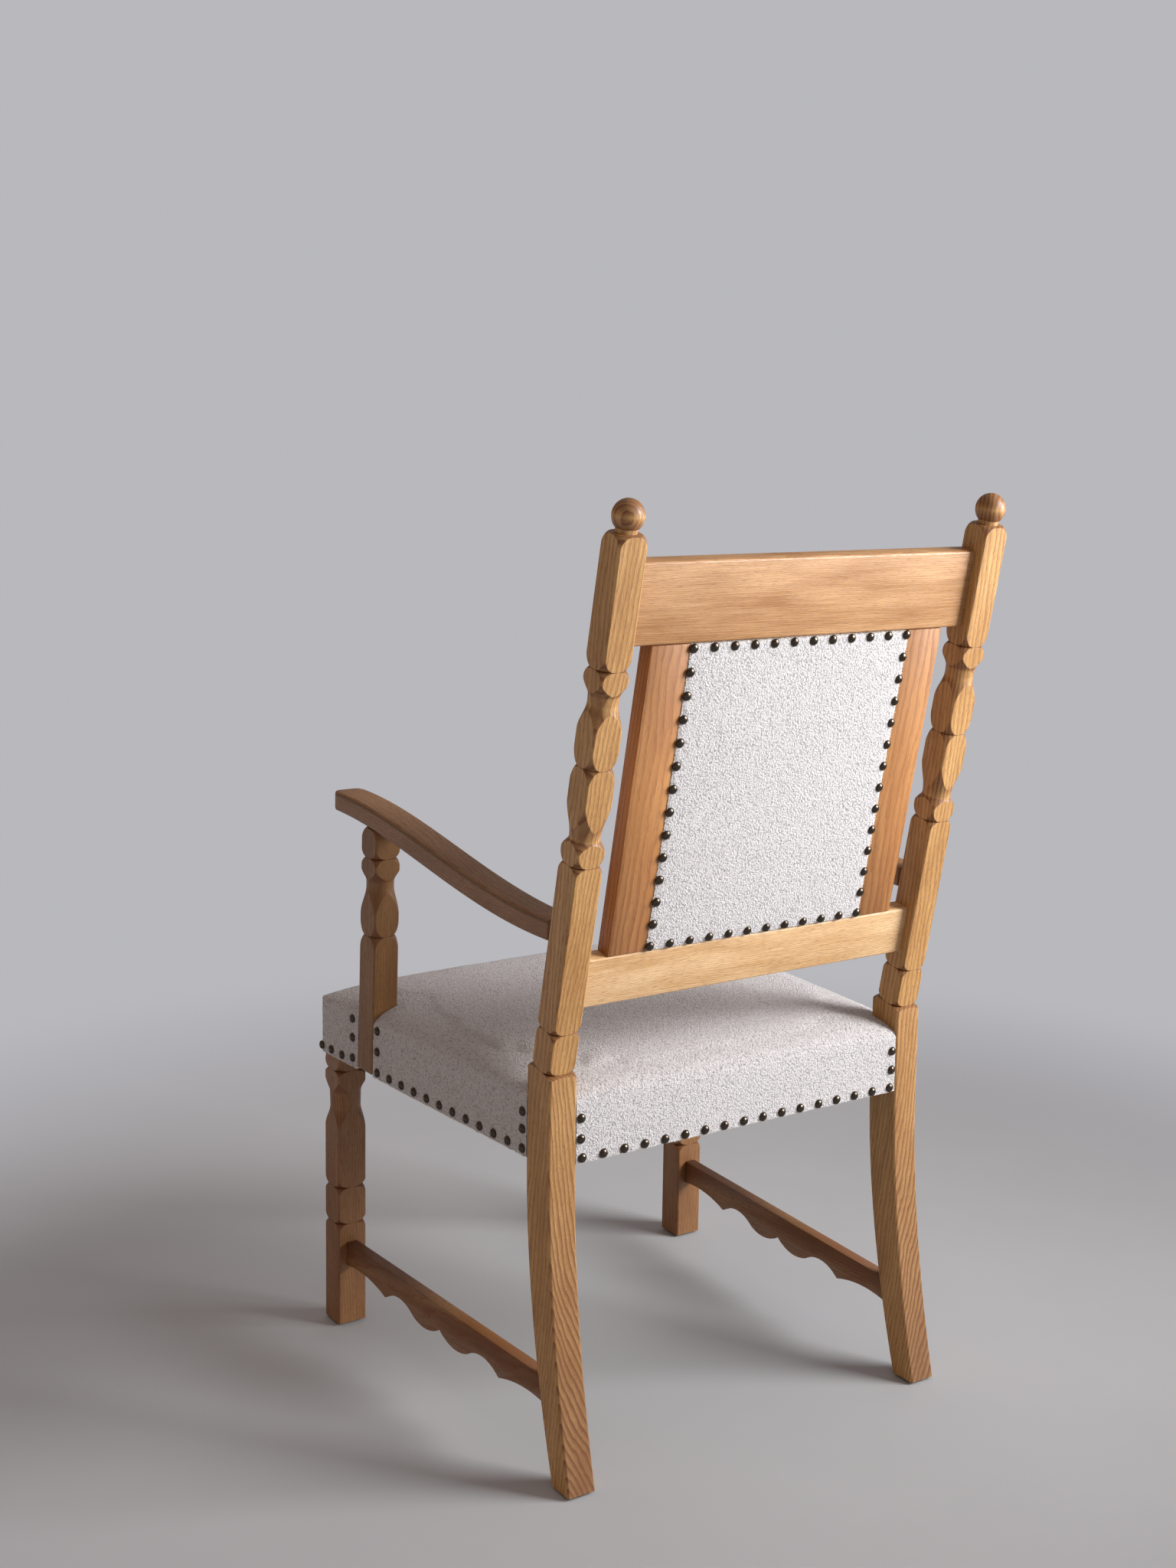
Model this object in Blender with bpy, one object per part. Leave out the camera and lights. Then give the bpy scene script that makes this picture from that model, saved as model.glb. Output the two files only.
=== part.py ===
"""Carved oak armchair with an upholstered seat and back.

Metres, +Z up, the front towards -Y, the floor at Z = 0. The chair is symmetric about X = 0. Pieces that come
in pairs are modelled on the sitter's left, at +X, and mirrored. The back leans: its pieces are laid out in the
plane of the rear posts, in a frame whose Z runs up the posts and whose Y points squarely out of the back.
"""

import math

import bmesh
import bpy
from mathutils import Matrix, Vector

# Clearances and cutters
PAST = 0.1  # how far a cutter reaches past what it cuts
FIT = 0.0003  # between wood faces that touch, and all round each tenon
CLOTH_GAP = 0.0005  # between the wood and the inside of a cover
SUPPORT_CUT_GAP = 0.0006  # between the seat cover and the arm support that it is cut round
FOAM_CUT_GAP = 0.0015  # between the seat foam and the posts and supports that it is cut round

# Rear posts: a sabre leg below, and a bar turned from the square above, all one length of oak
POST_X = 0.2558
POST_SIDE = 0.036
POST_Y = 0.1800  # the raked axis at POST_REF_HEIGHT
POST_REF_HEIGHT = 0.500
POST_RAKE = math.radians(11.72)
REAR_LEG_BACK_Y = 0.1968
REAR_LEG_DEPTH = 0.0475
REAR_FOOT_DEPTH = 0.0355
SABRE_HEIGHT = 0.360  # the leg is upright above this height and sweeps back below it
SABRE_SWEEP = 0.050
SABRE_POWER = 1.85
SABRE_STEPS = 10
STRETCHER_STEPS = 5  # of those, the ones that the stretcher's end follows

# Front legs
FRONT_LEG_X = 0.2758
FRONT_LEG_Y = -0.2972
FRONT_LEG_SIDE = 0.040

# Glides under the feet
GLIDE_DIAMETER = 0.028
GLIDE_HEIGHT = 0.003

# Seat frame
RAIL_BOTTOM = 0.372
RAIL_TOP = 0.430
FRONT_RAIL_THICKNESS = 0.025
BACK_RAIL_THICKNESS = 0.0245
SIDE_RAIL_THICKNESS = 0.026
RAIL_TENON_THICKNESS = 0.010
RAIL_TENON_DEPTH = 0.014
BACK_RAIL_TENON_DEPTH = 0.020
RAIL_TENON_SHOULDER = 0.012  # above and below each seat rail tenon
CORNER_BLOCK_REACH = 0.070  # along each rail, from the leg
CORNER_BLOCK_HEIGHT = 0.045

# Webbing and dust cover
WEB_WIDTH = 0.050
WEB_THICKNESS = 0.0016
LONG_WEB_XS = (-0.165, -0.055, 0.055, 0.165)
CROSS_WEB_YS = (-0.130, -0.035, 0.060)
WEB_END_MARGIN = 0.004  # from the end of a web to the outer face of its rail
DUST_COVER_THICKNESS = 0.0012
DUST_COVER_MARGIN = 0.0175  # inside the seat's outline, clear of the arm supports
DUST_COVER_END_MARGIN = 0.006  # inside the outer faces of the front and back rails
DUST_COVER_CUT = 0.001  # clear of the legs

# Seat cover and foam
COVER_THICKNESS = 0.004
SEAT_BOTTOM = 0.368
SEAT_EDGE_HEIGHT = 0.438
SEAT_CROWN = 0.028
SEAT_FULLNESS = ((5, 1 / 2), (7, 1 / 2.6))  # powers of the crown's fall towards the sides, and towards the ends
SEAT_CORNER_RADIUS = 0.012
SEAT_CORNER_LEFT = 0.004  # least corner radius of the forms inside the seat's
SEAT_BACK_RECESS = 0.001  # the cloth at the back lies this far in front of the rear legs' back faces

# Arm supports, let into the outside of the seat
SUPPORT_SIDE = 0.036
SUPPORT_Y = -0.2047  # the leaning axis at SUPPORT_REF_HEIGHT
SUPPORT_REF_HEIGHT = 0.400
SUPPORT_LEAN = math.radians(1.89)
SUPPORT_PROUD = 0.0005  # past the seat's cloth
SUPPORT_BOTTOM = 0.371
SUPPORT_LAP = 0.016  # thickness of the tongue that passes outside the seat rail
SUPPORT_TENON = (0.016, 0.020, 0.014)

# Armrests
ARM_FRONT_Y = -0.2902
ARM_FRONT_HEIGHT = 0.7067
ARM_REAR_HEIGHT = 0.639
ARM_FRONT_HANDLE = (0.158, -0.0025)  # from the nose to the curve's first handle, along Y and Z
ARM_REAR_HANDLE = (-0.1726, 0.001)  # from the post to the second handle
ARM_FRONT_WIDTH = 0.042
ARM_THICKNESS = 0.0238
ARM_SWELL = 0.003  # more thickness in the middle of the arm
ARM_NOSE_LENGTH = 0.0138
ARM_NOSE_ROUND = 0.005
ARM_TOP_ROUND = 0.003
ARM_BOTTOM_ROUND = 0.002
ARM_TENON = (0.012, 0.015, 0.014)

# Side stretchers
STRETCHER_THICKNESS = 0.016
STRETCHER_TOP = 0.1145
STRETCHER_END_EDGE = 0.0825  # height of the lower edge at the legs
STRETCHER_OUTER_COVE = (0.185, 0.0853)  # distance from the middle, and height
STRETCHER_CUSP = (0.131, 0.0748)
STRETCHER_INNER_COVE = (0.092, 0.0868)
STRETCHER_LOBE_START = (0.062, 0.0762)
STRETCHER_LOBE = (0.041, 0.0713)
STRETCHER_NOTCH = 0.083
STRETCHER_ARC_STEPS = 5
STRETCHER_CHAMFER = 0.002
STRETCHER_TENON = (0.008, 0.015, 0.016)

# Back: heights are those of points on the posts' axis, and offsets are square to the back, rearwards
BACK_REAR_OFFSET = 0.0063
BACK_FRONT_OFFSET = -0.017
CREST_BOTTOM = 0.9597
CREST_HEIGHT = 0.0900
LOWER_RAIL_TOP = 0.6053
LOWER_RAIL_HEIGHT = 0.0580
BACK_RAIL_EASE = 0.003
BACK_TENON_THICKNESS = 0.010
BACK_TENON_DEPTH = 0.020
BACK_TENON_SHOULDER = 0.011
STILE_OUTER_X = 0.207
STILE_WIDTH = 0.0507  # the part that shows
STILE_THICKNESS = 0.0213
STILE_LIP = 0.015  # more width, set back, that carries the cloth
STILE_REBATE = 0.005
STILE_TENON = (0.030, 0.008, 0.015)
INNER_RAIL_HEIGHT = 0.030
INNER_RAIL_TENON = (0.009, 0.008, 0.018)
PANEL_EDGE_ROUND = 0.0012

# Back pad
BACK_WEB_SHARES = (0.24, 0.49, 0.75)  # of the way from the lower rail to the crest rail
BACK_PAD_OVERLAP = 0.004  # the front cover's lap on each stile
BACK_PAD_MARGIN = 0.0015  # between the front cover and the rails above and below it
BACK_PAD_EDGE = 0.016
BACK_PAD_CROWN = 0.012
BACK_PAD_FULLNESS = (4, 5)  # powers of the crown's fall towards the stiles, and towards the rails
BACK_PAD_COLUMNS = 12
BACK_COVER_THICKNESS = 0.003
BACK_PAD_CORNER_RADIUS = 0.006
BACK_PAD_CORNER_LEFT = 0.003  # least corner radius of the forms inside the cover's

# Mesh fineness
ROUND_SHARE = 0.45  # the most of a narrow section's side that its rounding takes
ARM_STEPS = 14
ARM_NOSE_ANGLES = (8, 24, 40, 56, 72, 90)
ARM_PROBE = 0.001  # share of the arm each way, that its direction is taken over
TURNED_SIDES = 20
EASE_STEPS = 6
SHOULDER_STEPS = 3
SHOULDER_POWER = 1.7
CROWN_COLUMNS = 16
CROWN_ROWS = 16
BACK_CROWN_ROWS = 12

# Turnings. Each run gives its shape and the height and radius that it ends at, from the top down.
FULL_POST = 0.0245  # just inside the corners of a post or a support, so only their arrises are taken off
FULL_LEG = 0.0276
POST_KNEE = 0.4769  # the lowest groove of the rear post, where the sabre leg starts
POST_TURNING = [
    ("round", 1.0979, 0.0176),
    ("fall", 1.0850, 0.0120),
    ("line", 1.0805, 0.0120),
    ("line", 1.0796, 0.0172),
    ("rise", 1.0660, FULL_POST),
    ("line", 0.9520, FULL_POST),
    ("fall", 0.9369, 0.0174),
    ("rise", 0.9256, 0.0245),
    ("ease", 0.9070, 0.0172),
    ("line", 0.9000, 0.0168),
    ("ease", 0.8670, FULL_POST),
    ("line", 0.8500, FULL_POST),
    ("fall", 0.8294, 0.0175),
    ("rise", 0.8080, 0.0247),
    ("line", 0.7950, 0.0247),
    ("ease", 0.7495, 0.0170),
    ("ease", 0.7360, 0.0241),
    ("line", 0.7335, 0.0241),
    ("fall", 0.7197, 0.0175),
    ("rise", 0.7100, FULL_POST),
    ("line", 0.5345, FULL_POST),
    ("fall", 0.5252, 0.0174),
    ("rise", 0.5160, FULL_POST),
    ("line", 0.4860, FULL_POST),
    ("fall", POST_KNEE, 0.0173),
    ("rise", 0.4680, 0.0325),
    ("line", 0.4675, 0.4000),
    ("line", -0.0500, 0.4000),
]
POST_TOP = 1.1155
FRONT_LEG_TURNING = [
    ("line", 0.3570, FULL_LEG),
    ("fall", 0.3465, 0.0195),
    ("rise", 0.3370, 0.0284),
    ("ease", 0.3150, 0.0203),
    ("line", 0.2970, 0.0198),
    ("ease", 0.2650, FULL_LEG),
    ("line", 0.1990, FULL_LEG),
    ("fall", 0.1885, 0.0195),
    ("rise", 0.1790, FULL_LEG),
    ("line", 0.1490, FULL_LEG),
    ("fall", 0.1394, 0.0195),
    ("rise", 0.1300, FULL_LEG),
    ("line", -0.0100, FULL_LEG),
]
SUPPORT_TURNING = [
    ("line", 0.6845, 0.0180),
    ("rise", 0.6710, FULL_POST),
    ("line", 0.6585, FULL_POST),
    ("fall", 0.6475, 0.0173),
    ("rise", 0.6350, 0.0248),
    ("ease", 0.6170, 0.0174),
    ("line", 0.6115, 0.0173),
    ("ease", 0.5730, FULL_POST),
    ("line", 0.5670, FULL_POST),
    ("fall", 0.5475, 0.0176),
    ("rise", 0.5300, FULL_POST),
    ("line", 0.3500, FULL_POST),
]


def material(name, colour, roughness):
    finish = bpy.data.materials.new(name)
    finish.use_nodes = True
    shader = finish.node_tree.nodes["Principled BSDF"]
    shader.inputs["Base Color"].default_value = (*colour, 1.0)
    shader.inputs["Roughness"].default_value = roughness
    shader.inputs["Metallic"].default_value = 0.0
    return finish


def frame(name, location=(0, 0, 0), rotation=(0, 0, 0), parent=None):
    """An empty that pieces are laid out in."""
    empty = bpy.data.objects.new(name, None)
    bpy.context.scene.collection.objects.link(empty)
    empty.parent = parent
    empty.location = location
    empty.rotation_euler = rotation
    return empty


def solid(name, shape, finish=None, parent=None, smooth=False):
    """Makes an object of a bmesh. Without a finish it is a helper that other pieces are cut by or joined to."""
    mesh = bpy.data.meshes.new(name)
    shape.to_mesh(mesh)
    shape.free()
    if smooth:
        mesh.shade_smooth()
        mesh.set_sharp_from_angle(angle=math.radians(35))
    piece = bpy.data.objects.new(name, mesh)
    bpy.context.scene.collection.objects.link(piece)
    piece.parent = parent
    if finish:
        mesh.materials.append(finish)
    else:
        piece.hide_render = True
        piece.display_type = "WIRE"
    return piece


def combine(piece, operation, tool):
    boolean = piece.modifiers.new(tool.name, "BOOLEAN")
    boolean.operation = operation
    boolean.object = tool


def mirrored(piece):
    """The sitter's right counterpart of a finished piece on the left."""
    bpy.context.view_layer.update()
    finished = piece.evaluated_get(bpy.context.evaluated_depsgraph_get())
    mesh = bpy.data.meshes.new_from_object(finished)
    mesh.transform(Matrix.Diagonal((-1, 1, 1, 1)) @ piece.matrix_world)
    mesh.flip_normals()
    copy = bpy.data.objects.new(piece.name.replace("left", "right"), mesh)
    bpy.context.scene.collection.objects.link(copy)
    copy.hide_render = piece.hide_render
    copy.display_type = piece.display_type
    return copy


def bar(size, centre=(0, 0, 0), ease=0, along="X"):
    """A box, with the four edges along one axis eased if that is asked for."""
    shape = bmesh.new()
    bmesh.ops.create_cube(shape, size=1, matrix=Matrix.Translation(centre) @ Matrix.Diagonal((*size, 1)))
    if ease:
        axis = "XYZ".index(along)
        long_edges = [edge for edge in shape.edges if abs((edge.verts[0].co - edge.verts[1].co)[axis]) > 1e-6]
        bmesh.ops.bevel(shape, geom=long_edges, offset=ease, segments=2, profile=0.5, affect="EDGES")
    return shape


def loft(rings):
    """A closed shape through rings of points, with a flat face across the first ring and the last."""
    shape = bmesh.new()
    layers = [[shape.verts.new(point) for point in ring] for ring in rings]
    shape.faces.new(layers[0])
    shape.faces.new(layers[-1])
    for lower, upper in zip(layers, layers[1:]):
        for here in range(len(lower)):
            there = (here + 1) % len(lower)
            shape.faces.new((lower[here], lower[there], upper[there], upper[here]))
    bmesh.ops.recalc_face_normals(shape, faces=shape.faces)
    return shape


def prism(outline, axis, low, high):
    """An outline pulled along X, Y or Z. Its pairs lie along the two other axes, in their order."""
    place = {
        "X": lambda a, b, reach: (reach, a, b),
        "Y": lambda a, b, reach: (a, reach, b),
        "Z": lambda a, b, reach: (a, b, reach),
    }[axis]
    return loft([[place(a, b, reach) for a, b in outline] for reach in (low, high)])


def arc(start, middle, end, steps):
    """Points along the circle through three points, after the start and up to the end."""
    (ax, ay), (bx, by), (cx, cy) = start, middle, end
    turn = 2 * (ax * (by - cy) + bx * (cy - ay) + cx * (ay - by))
    a, b, c = ax * ax + ay * ay, bx * bx + by * by, cx * cx + cy * cy
    centre_x = (a * (by - cy) + b * (cy - ay) + c * (ay - by)) / turn
    centre_y = (a * (cx - bx) + b * (ax - cx) + c * (bx - ax)) / turn
    radius = math.hypot(ax - centre_x, ay - centre_y)
    first = math.atan2(ay - centre_y, ax - centre_x)
    sweep = math.remainder(math.atan2(cy - centre_y, cx - centre_x) - first, math.tau)
    angles = [first + sweep * step / steps for step in range(1, steps + 1)]
    return [(centre_x + radius * math.cos(angle), centre_y + radius * math.sin(angle)) for angle in angles]


def run_points(shape):
    """How far along and how far out a run of a turning has come, at each of its points."""
    if shape == "line":
        return [(1.0, 1.0)]
    if shape == "ease":
        shares = [step / EASE_STEPS for step in range(1, EASE_STEPS + 1)]
        return [(share, (1 - math.cos(math.pi * share)) / 2) for share in shares]
    quarters = [math.pi / 2 * step / SHOULDER_STEPS for step in range(1, SHOULDER_STEPS + 1)]
    if shape == "round":
        quarters = [math.pi / 2 * step / EASE_STEPS for step in range(1, EASE_STEPS + 1)]
        return [(1 - math.cos(angle), math.sin(angle)) for angle in quarters]
    swell = lambda share: max(0.0, 1 - share**SHOULDER_POWER) ** (1 / SHOULDER_POWER)
    if shape == "rise":
        return [(1 - math.cos(angle), swell(math.cos(angle))) for angle in quarters]
    return [(math.sin(angle), 1 - swell(math.sin(angle))) for angle in quarters]


def turning(name, top, top_radius, runs, parent, place, length_of=lambda height: height):
    """A solid of revolution about its parent's Z, which a square bar is cut to."""
    height, radius = top, top_radius
    points = [(0.0, height), (radius, height)]
    for shape, end_height, end_radius in runs:
        for along, out in run_points(shape):
            points.append((radius + (end_radius - radius) * out, height + (end_height - height) * along))
        height, radius = end_height, end_radius
    points.append((0.0, height))
    shape = bmesh.new()
    verts = [shape.verts.new((out, 0.0, length_of(up))) for out, up in points]
    for upper, lower in zip(verts, verts[1:]):
        shape.edges.new((upper, lower))
    tool = solid(name, shape, parent=parent)
    tool.location = place
    # The bar's corners meet the middles of facets, not the lines between them
    tool.rotation_euler.z = math.pi / 4 + math.pi / TURNED_SIDES
    screw = tool.modifiers.new("turn", "SCREW")
    screw.steps = screw.render_steps = TURNED_SIDES
    screw.use_merge_vertices = True
    screw.merge_threshold = 0.00001
    return tool


def mortise_and_tenon(name, parent, centre, size, tenoned, mortised, spanning=None):
    """A tenon half inside its own piece, and its mortise, FIT larger all round, in the other piece.

    The one of the two that spans the chair has the joint on the sitter's right as well."""
    x, y, z = centre
    for piece, operation, gap in ((tenoned, "UNION", 0), (mortised, "DIFFERENCE", FIT)):
        room = [side + 2 * gap for side in size]
        for side in (1, -1) if piece is spanning else (1,):
            tool = solid(f"{name}_{operation}_{side}", bar(room, (side * x, y, z)), parent=parent)
            combine(piece, operation, tool)


def up_post(height):
    """Distance along the posts' axis from the back frame's origin to a height."""
    return (height - POST_REF_HEIGHT) / math.cos(POST_RAKE)


def back_point(offset, height):
    """Y and Z of a point square to the back from the point of the posts' axis at a height."""
    y = POST_Y + (height - POST_REF_HEIGHT) * math.tan(POST_RAKE) + offset * math.cos(POST_RAKE)
    return y, height - offset * math.sin(POST_RAKE)


def post_front_y(height):
    return POST_Y + (height - POST_REF_HEIGHT) * math.tan(POST_RAKE) - POST_SIDE / 2 / math.cos(POST_RAKE)


def sabre(height):
    return max(0.0, 1 - height / SABRE_HEIGHT) ** SABRE_POWER


def leg_back_y(height):
    return REAR_LEG_BACK_Y + SABRE_SWEEP * sabre(height)


def leg_front_y(height):
    return leg_back_y(height) - REAR_LEG_DEPTH + (REAR_LEG_DEPTH - REAR_FOOT_DEPTH) * sabre(height)


FOOT_HEIGHT = GLIDE_HEIGHT + FIT
SABRE_RISE = (SABRE_HEIGHT - FOOT_HEIGHT) / SABRE_STEPS
LEG_HEIGHTS = [FOOT_HEIGHT + SABRE_RISE * step for step in range(SABRE_STEPS + 1)]
REAR_LEG_FRONT_Y = REAR_LEG_BACK_Y - REAR_LEG_DEPTH
POST_INNER_X = POST_X - POST_SIDE / 2
POST_OUTER_X = POST_X + POST_SIDE / 2
LEG_INNER_X = FRONT_LEG_X - FRONT_LEG_SIDE / 2
LEG_REAR_Y = FRONT_LEG_Y + FRONT_LEG_SIDE / 2
LEG_FRONT_FACE_Y = FRONT_LEG_Y - FRONT_LEG_SIDE / 2
WOOD_INSET = COVER_THICKNESS + CLOTH_GAP  # from the seat's outline to the rails and legs inside it

# Seat outline
SEAT_FRONT_Y = LEG_FRONT_FACE_Y - WOOD_INSET
SEAT_REAR_Y = REAR_LEG_BACK_Y - SEAT_BACK_RECESS
SEAT_TAPER = (FRONT_LEG_X + FRONT_LEG_SIDE / 2 + WOOD_INSET - POST_OUTER_X) / (REAR_LEG_FRONT_Y - FRONT_LEG_Y)
SPLAY = math.atan(SEAT_TAPER)


def seat_side_x(y):
    """The seat's side, level with the outer faces of the rear legs."""
    return POST_OUTER_X + (REAR_LEG_FRONT_Y - y) * SEAT_TAPER


def crowned(half_width, front, rear, base, top, rows, columns=CROWN_COLUMNS):
    """A closed form with upright sides and a domed top. Rows and columns lie closer together at its edges."""
    spread = lambda count: [math.sin(math.pi / 2 * (2 * step / count - 1)) for step in range(count + 1)]
    shape = bmesh.new()
    grid = []
    for along in spread(rows):
        y = (front + rear) / 2 + along * (rear - front) / 2
        xs = [half_width(y) * across for across in spread(columns)]
        grid.append([shape.verts.new((x, y, top(x, y))) for x in xs])
    for near, far in zip(grid, grid[1:]):
        for here in range(columns):
            shape.faces.new((near[here], near[here + 1], far[here + 1], far[here]))
    lefts = [row[0] for row in grid[1:-1]]
    rights = [row[-1] for row in grid[1:-1]]
    rim = grid[0] + rights + grid[-1][::-1] + lefts[::-1]
    floor = {vert: shape.verts.new((vert.co.x, vert.co.y, base)) for vert in rim}
    for here, there in zip(rim, rim[1:] + rim[:1]):
        shape.faces.new((here, there, floor[there], floor[here]))
    shape.faces.new([floor[vert] for vert in grid[0]] + [floor[rights[0]], floor[lefts[0]]])
    shape.faces.new([floor[vert] for vert in grid[-1]] + [floor[rights[-1]], floor[lefts[-1]]])
    for near, far in zip(range(len(lefts)), range(1, len(lefts))):
        shape.faces.new([floor[vert] for vert in (lefts[near], rights[near], rights[far], lefts[far])])
    bmesh.ops.recalc_face_normals(shape, faces=shape.faces)
    bmesh.ops.triangulate(shape, faces=shape.faces)
    return shape


def rounded_half_width(half_width, front, radius):
    """Rounds the front corners of an outline."""

    def narrowed(y):
        missing = max(0.0, radius - (y - front))
        return half_width(y) - (radius - math.sqrt(max(0.0, radius**2 - missing**2)))

    return narrowed


def seat_top(x, y):
    """Height of the seat's cloth: steep at the edges and nearly level in the middle."""
    across = min(1.0, abs(x) / seat_side_x(y))
    middle = (SEAT_FRONT_Y + SEAT_REAR_Y) / 2
    along = min(1.0, abs(y - middle) / (SEAT_REAR_Y - middle))
    (steep, root), (steep_along, root_along) = SEAT_FULLNESS
    return SEAT_EDGE_HEIGHT + SEAT_CROWN * (1 - across**steep) ** root * (1 - along**steep_along) ** root_along


def seat_form(inset, drop, base, top=seat_top):
    """The seat's form, drawn in by an inset and lowered by a drop."""
    front = SEAT_FRONT_Y + inset
    radius = max(SEAT_CORNER_RADIUS - inset, SEAT_CORNER_LEFT)
    width = rounded_half_width(lambda y: seat_side_x(y) - inset, front, radius)
    return crowned(width, front, SEAT_REAR_Y - inset, base, lambda x, y: top(x, y) - drop, CROWN_ROWS)


def arm_point(share):
    """Y and Z on the armrest's centre line, from the nose to the post."""
    rear_y = post_front_y(ARM_REAR_HEIGHT)
    start, end = Vector((ARM_FRONT_Y, ARM_FRONT_HEIGHT)), Vector((rear_y, ARM_REAR_HEIGHT))
    first, second = start + Vector(ARM_FRONT_HANDLE), end + Vector(ARM_REAR_HANDLE)
    rest = 1 - share
    return start * rest**3 + first * (3 * rest**2 * share) + second * (3 * rest * share**2) + end * share**3


def arm_thickness(share):
    return ARM_THICKNESS + ARM_SWELL * math.sin(math.pi * min(share, 1.0))


def support_outer_x(y):
    return seat_side_x(y) + SUPPORT_PROUD


def arm_outer_x(y):
    """The armrest's outer face, level with the support's outer face and the post's."""
    rear_y = post_front_y(ARM_REAR_HEIGHT)
    reach = (rear_y - y) / (rear_y - SUPPORT_Y)
    return POST_OUTER_X + (support_outer_x(SUPPORT_Y) - POST_OUTER_X) * reach


def rounded_section(width, height, top_round, bottom_round):
    points = []
    corners = [(1, 1, 0, top_round), (-1, 1, 90, top_round)]
    corners += [(-1, -1, 180, bottom_round), (1, -1, 270, bottom_round)]
    for across, up, start, radius in corners:
        radius = min(radius, width * ROUND_SHARE, height * ROUND_SHARE)
        for step in range(3):
            angle = math.radians(start + 45 * step)
            x = across * (width / 2 - radius) + radius * math.cos(angle)
            points.append((x, up * (height / 2 - radius) + radius * math.sin(angle)))
    return points


def armrest_shape(grow=0.0):
    """Rounded sections along the centre line. In plan the nose is half an ellipse."""
    speed = 3 * Vector(ARM_FRONT_HANDLE).length
    nose_angles = [math.radians(angle) for angle in ARM_NOSE_ANGLES]
    stations = [(ARM_NOSE_LENGTH * (1 - math.cos(angle)), math.sin(angle)) for angle in nose_angles]
    shares = [(distance / speed, fullness, distance) for distance, fullness in stations]
    nose_share = shares[-1][0]
    steps = range(1, ARM_STEPS + 1)
    shares += [(nose_share + (1 - nose_share) * step / ARM_STEPS, 1.0, ARM_NOSE_LENGTH) for step in steps]
    rings = []
    for share, fullness, distance in shares:
        y, z = arm_point(share)
        ahead = (arm_point(share + ARM_PROBE) - arm_point(share - ARM_PROBE)).normalized()
        width = ARM_FRONT_WIDTH + (POST_SIDE - ARM_FRONT_WIDTH) * share
        round_left = max(0.0, ARM_NOSE_ROUND - distance)
        lost = ARM_NOSE_ROUND - math.sqrt(ARM_NOSE_ROUND**2 - round_left**2)
        thickness = arm_thickness(share) - 2 * lost + 2 * grow
        centre_x = arm_outer_x(y) - width / 2
        section = rounded_section(width * fullness + 2 * grow, thickness, ARM_TOP_ROUND, ARM_BOTTOM_ROUND)
        rings.append([(centre_x + x, y - up * ahead.y, z + up * ahead.x) for x, up in section])
    past_post = POST_SIDE
    rings.append([(x, y + past_post * ahead.x, z + past_post * ahead.y) for x, y, z in rings[-1]])
    shape = loft(rings)
    bmesh.ops.triangulate(shape, faces=shape.faces)
    return shape


def arm_share_at(y):
    low, high = 0.0, 1.0
    for _ in range(40):
        middle = (low + high) / 2
        low, high = (middle, high) if arm_point(middle).x < y else (low, middle)
    return low


def post_left(finish, back):
    """One length of oak: sabre leg, grooved blocks, double vase, shoulder and ball."""
    half = POST_SIDE / 2
    axis_y, _ = back_point(0, POST_KNEE)
    knee = lambda y: (y, POST_KNEE - (y - axis_y) * math.tan(POST_RAKE))
    blank_top = POST_TOP + half
    outline = [back_point(half, blank_top), back_point(half, POST_KNEE), knee(REAR_LEG_BACK_Y)]
    outline += [(leg_back_y(height), height) for height in reversed(LEG_HEIGHTS)]
    outline += [(leg_front_y(height), height) for height in LEG_HEIGHTS]
    outline += [knee(REAR_LEG_FRONT_Y), back_point(-half, POST_KNEE), back_point(-half, blank_top)]
    post = solid("rear_post_left", prism(outline, "X", POST_INNER_X, POST_OUTER_X), finish)
    place = (POST_X, 0, 0)
    cut = turning("rear_post_turning", POST_TOP, 0.0002, POST_TURNING, back, place, up_post)
    combine(post, "INTERSECT", cut)
    return post


def front_leg_left(finish):
    height = RAIL_TOP - FOOT_HEIGHT
    shape = bar((FRONT_LEG_SIDE, FRONT_LEG_SIDE, height), (0, 0, FOOT_HEIGHT + height / 2))
    leg = solid("front_leg_left", shape, finish)
    leg.location = (FRONT_LEG_X, FRONT_LEG_Y, 0)
    cut = turning("front_leg_turning", RAIL_TOP + 0.02, FULL_LEG, FRONT_LEG_TURNING, None, leg.location)
    combine(leg, "INTERSECT", cut)
    return leg


def upholstery_room():
    """Everything outside the wood of the seat frame, where the cloth passes: cut from the legs."""
    level = SEAT_BOTTOM - FIT
    wide, long = 2 * (seat_side_x(SEAT_FRONT_Y) + PAST), SEAT_REAR_Y - SEAT_FRONT_Y + 2 * PAST
    block = bar((wide, long, PAST), (0, (SEAT_REAR_Y + SEAT_FRONT_Y) / 2, level + PAST / 2))
    room = solid("upholstery_room", block)
    inside = seat_form(WOOD_INSET, 0, level - PAST, lambda x, y: level + 2 * PAST)
    combine(room, "DIFFERENCE", solid("upholstery_room_inside", inside))
    return room


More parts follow.
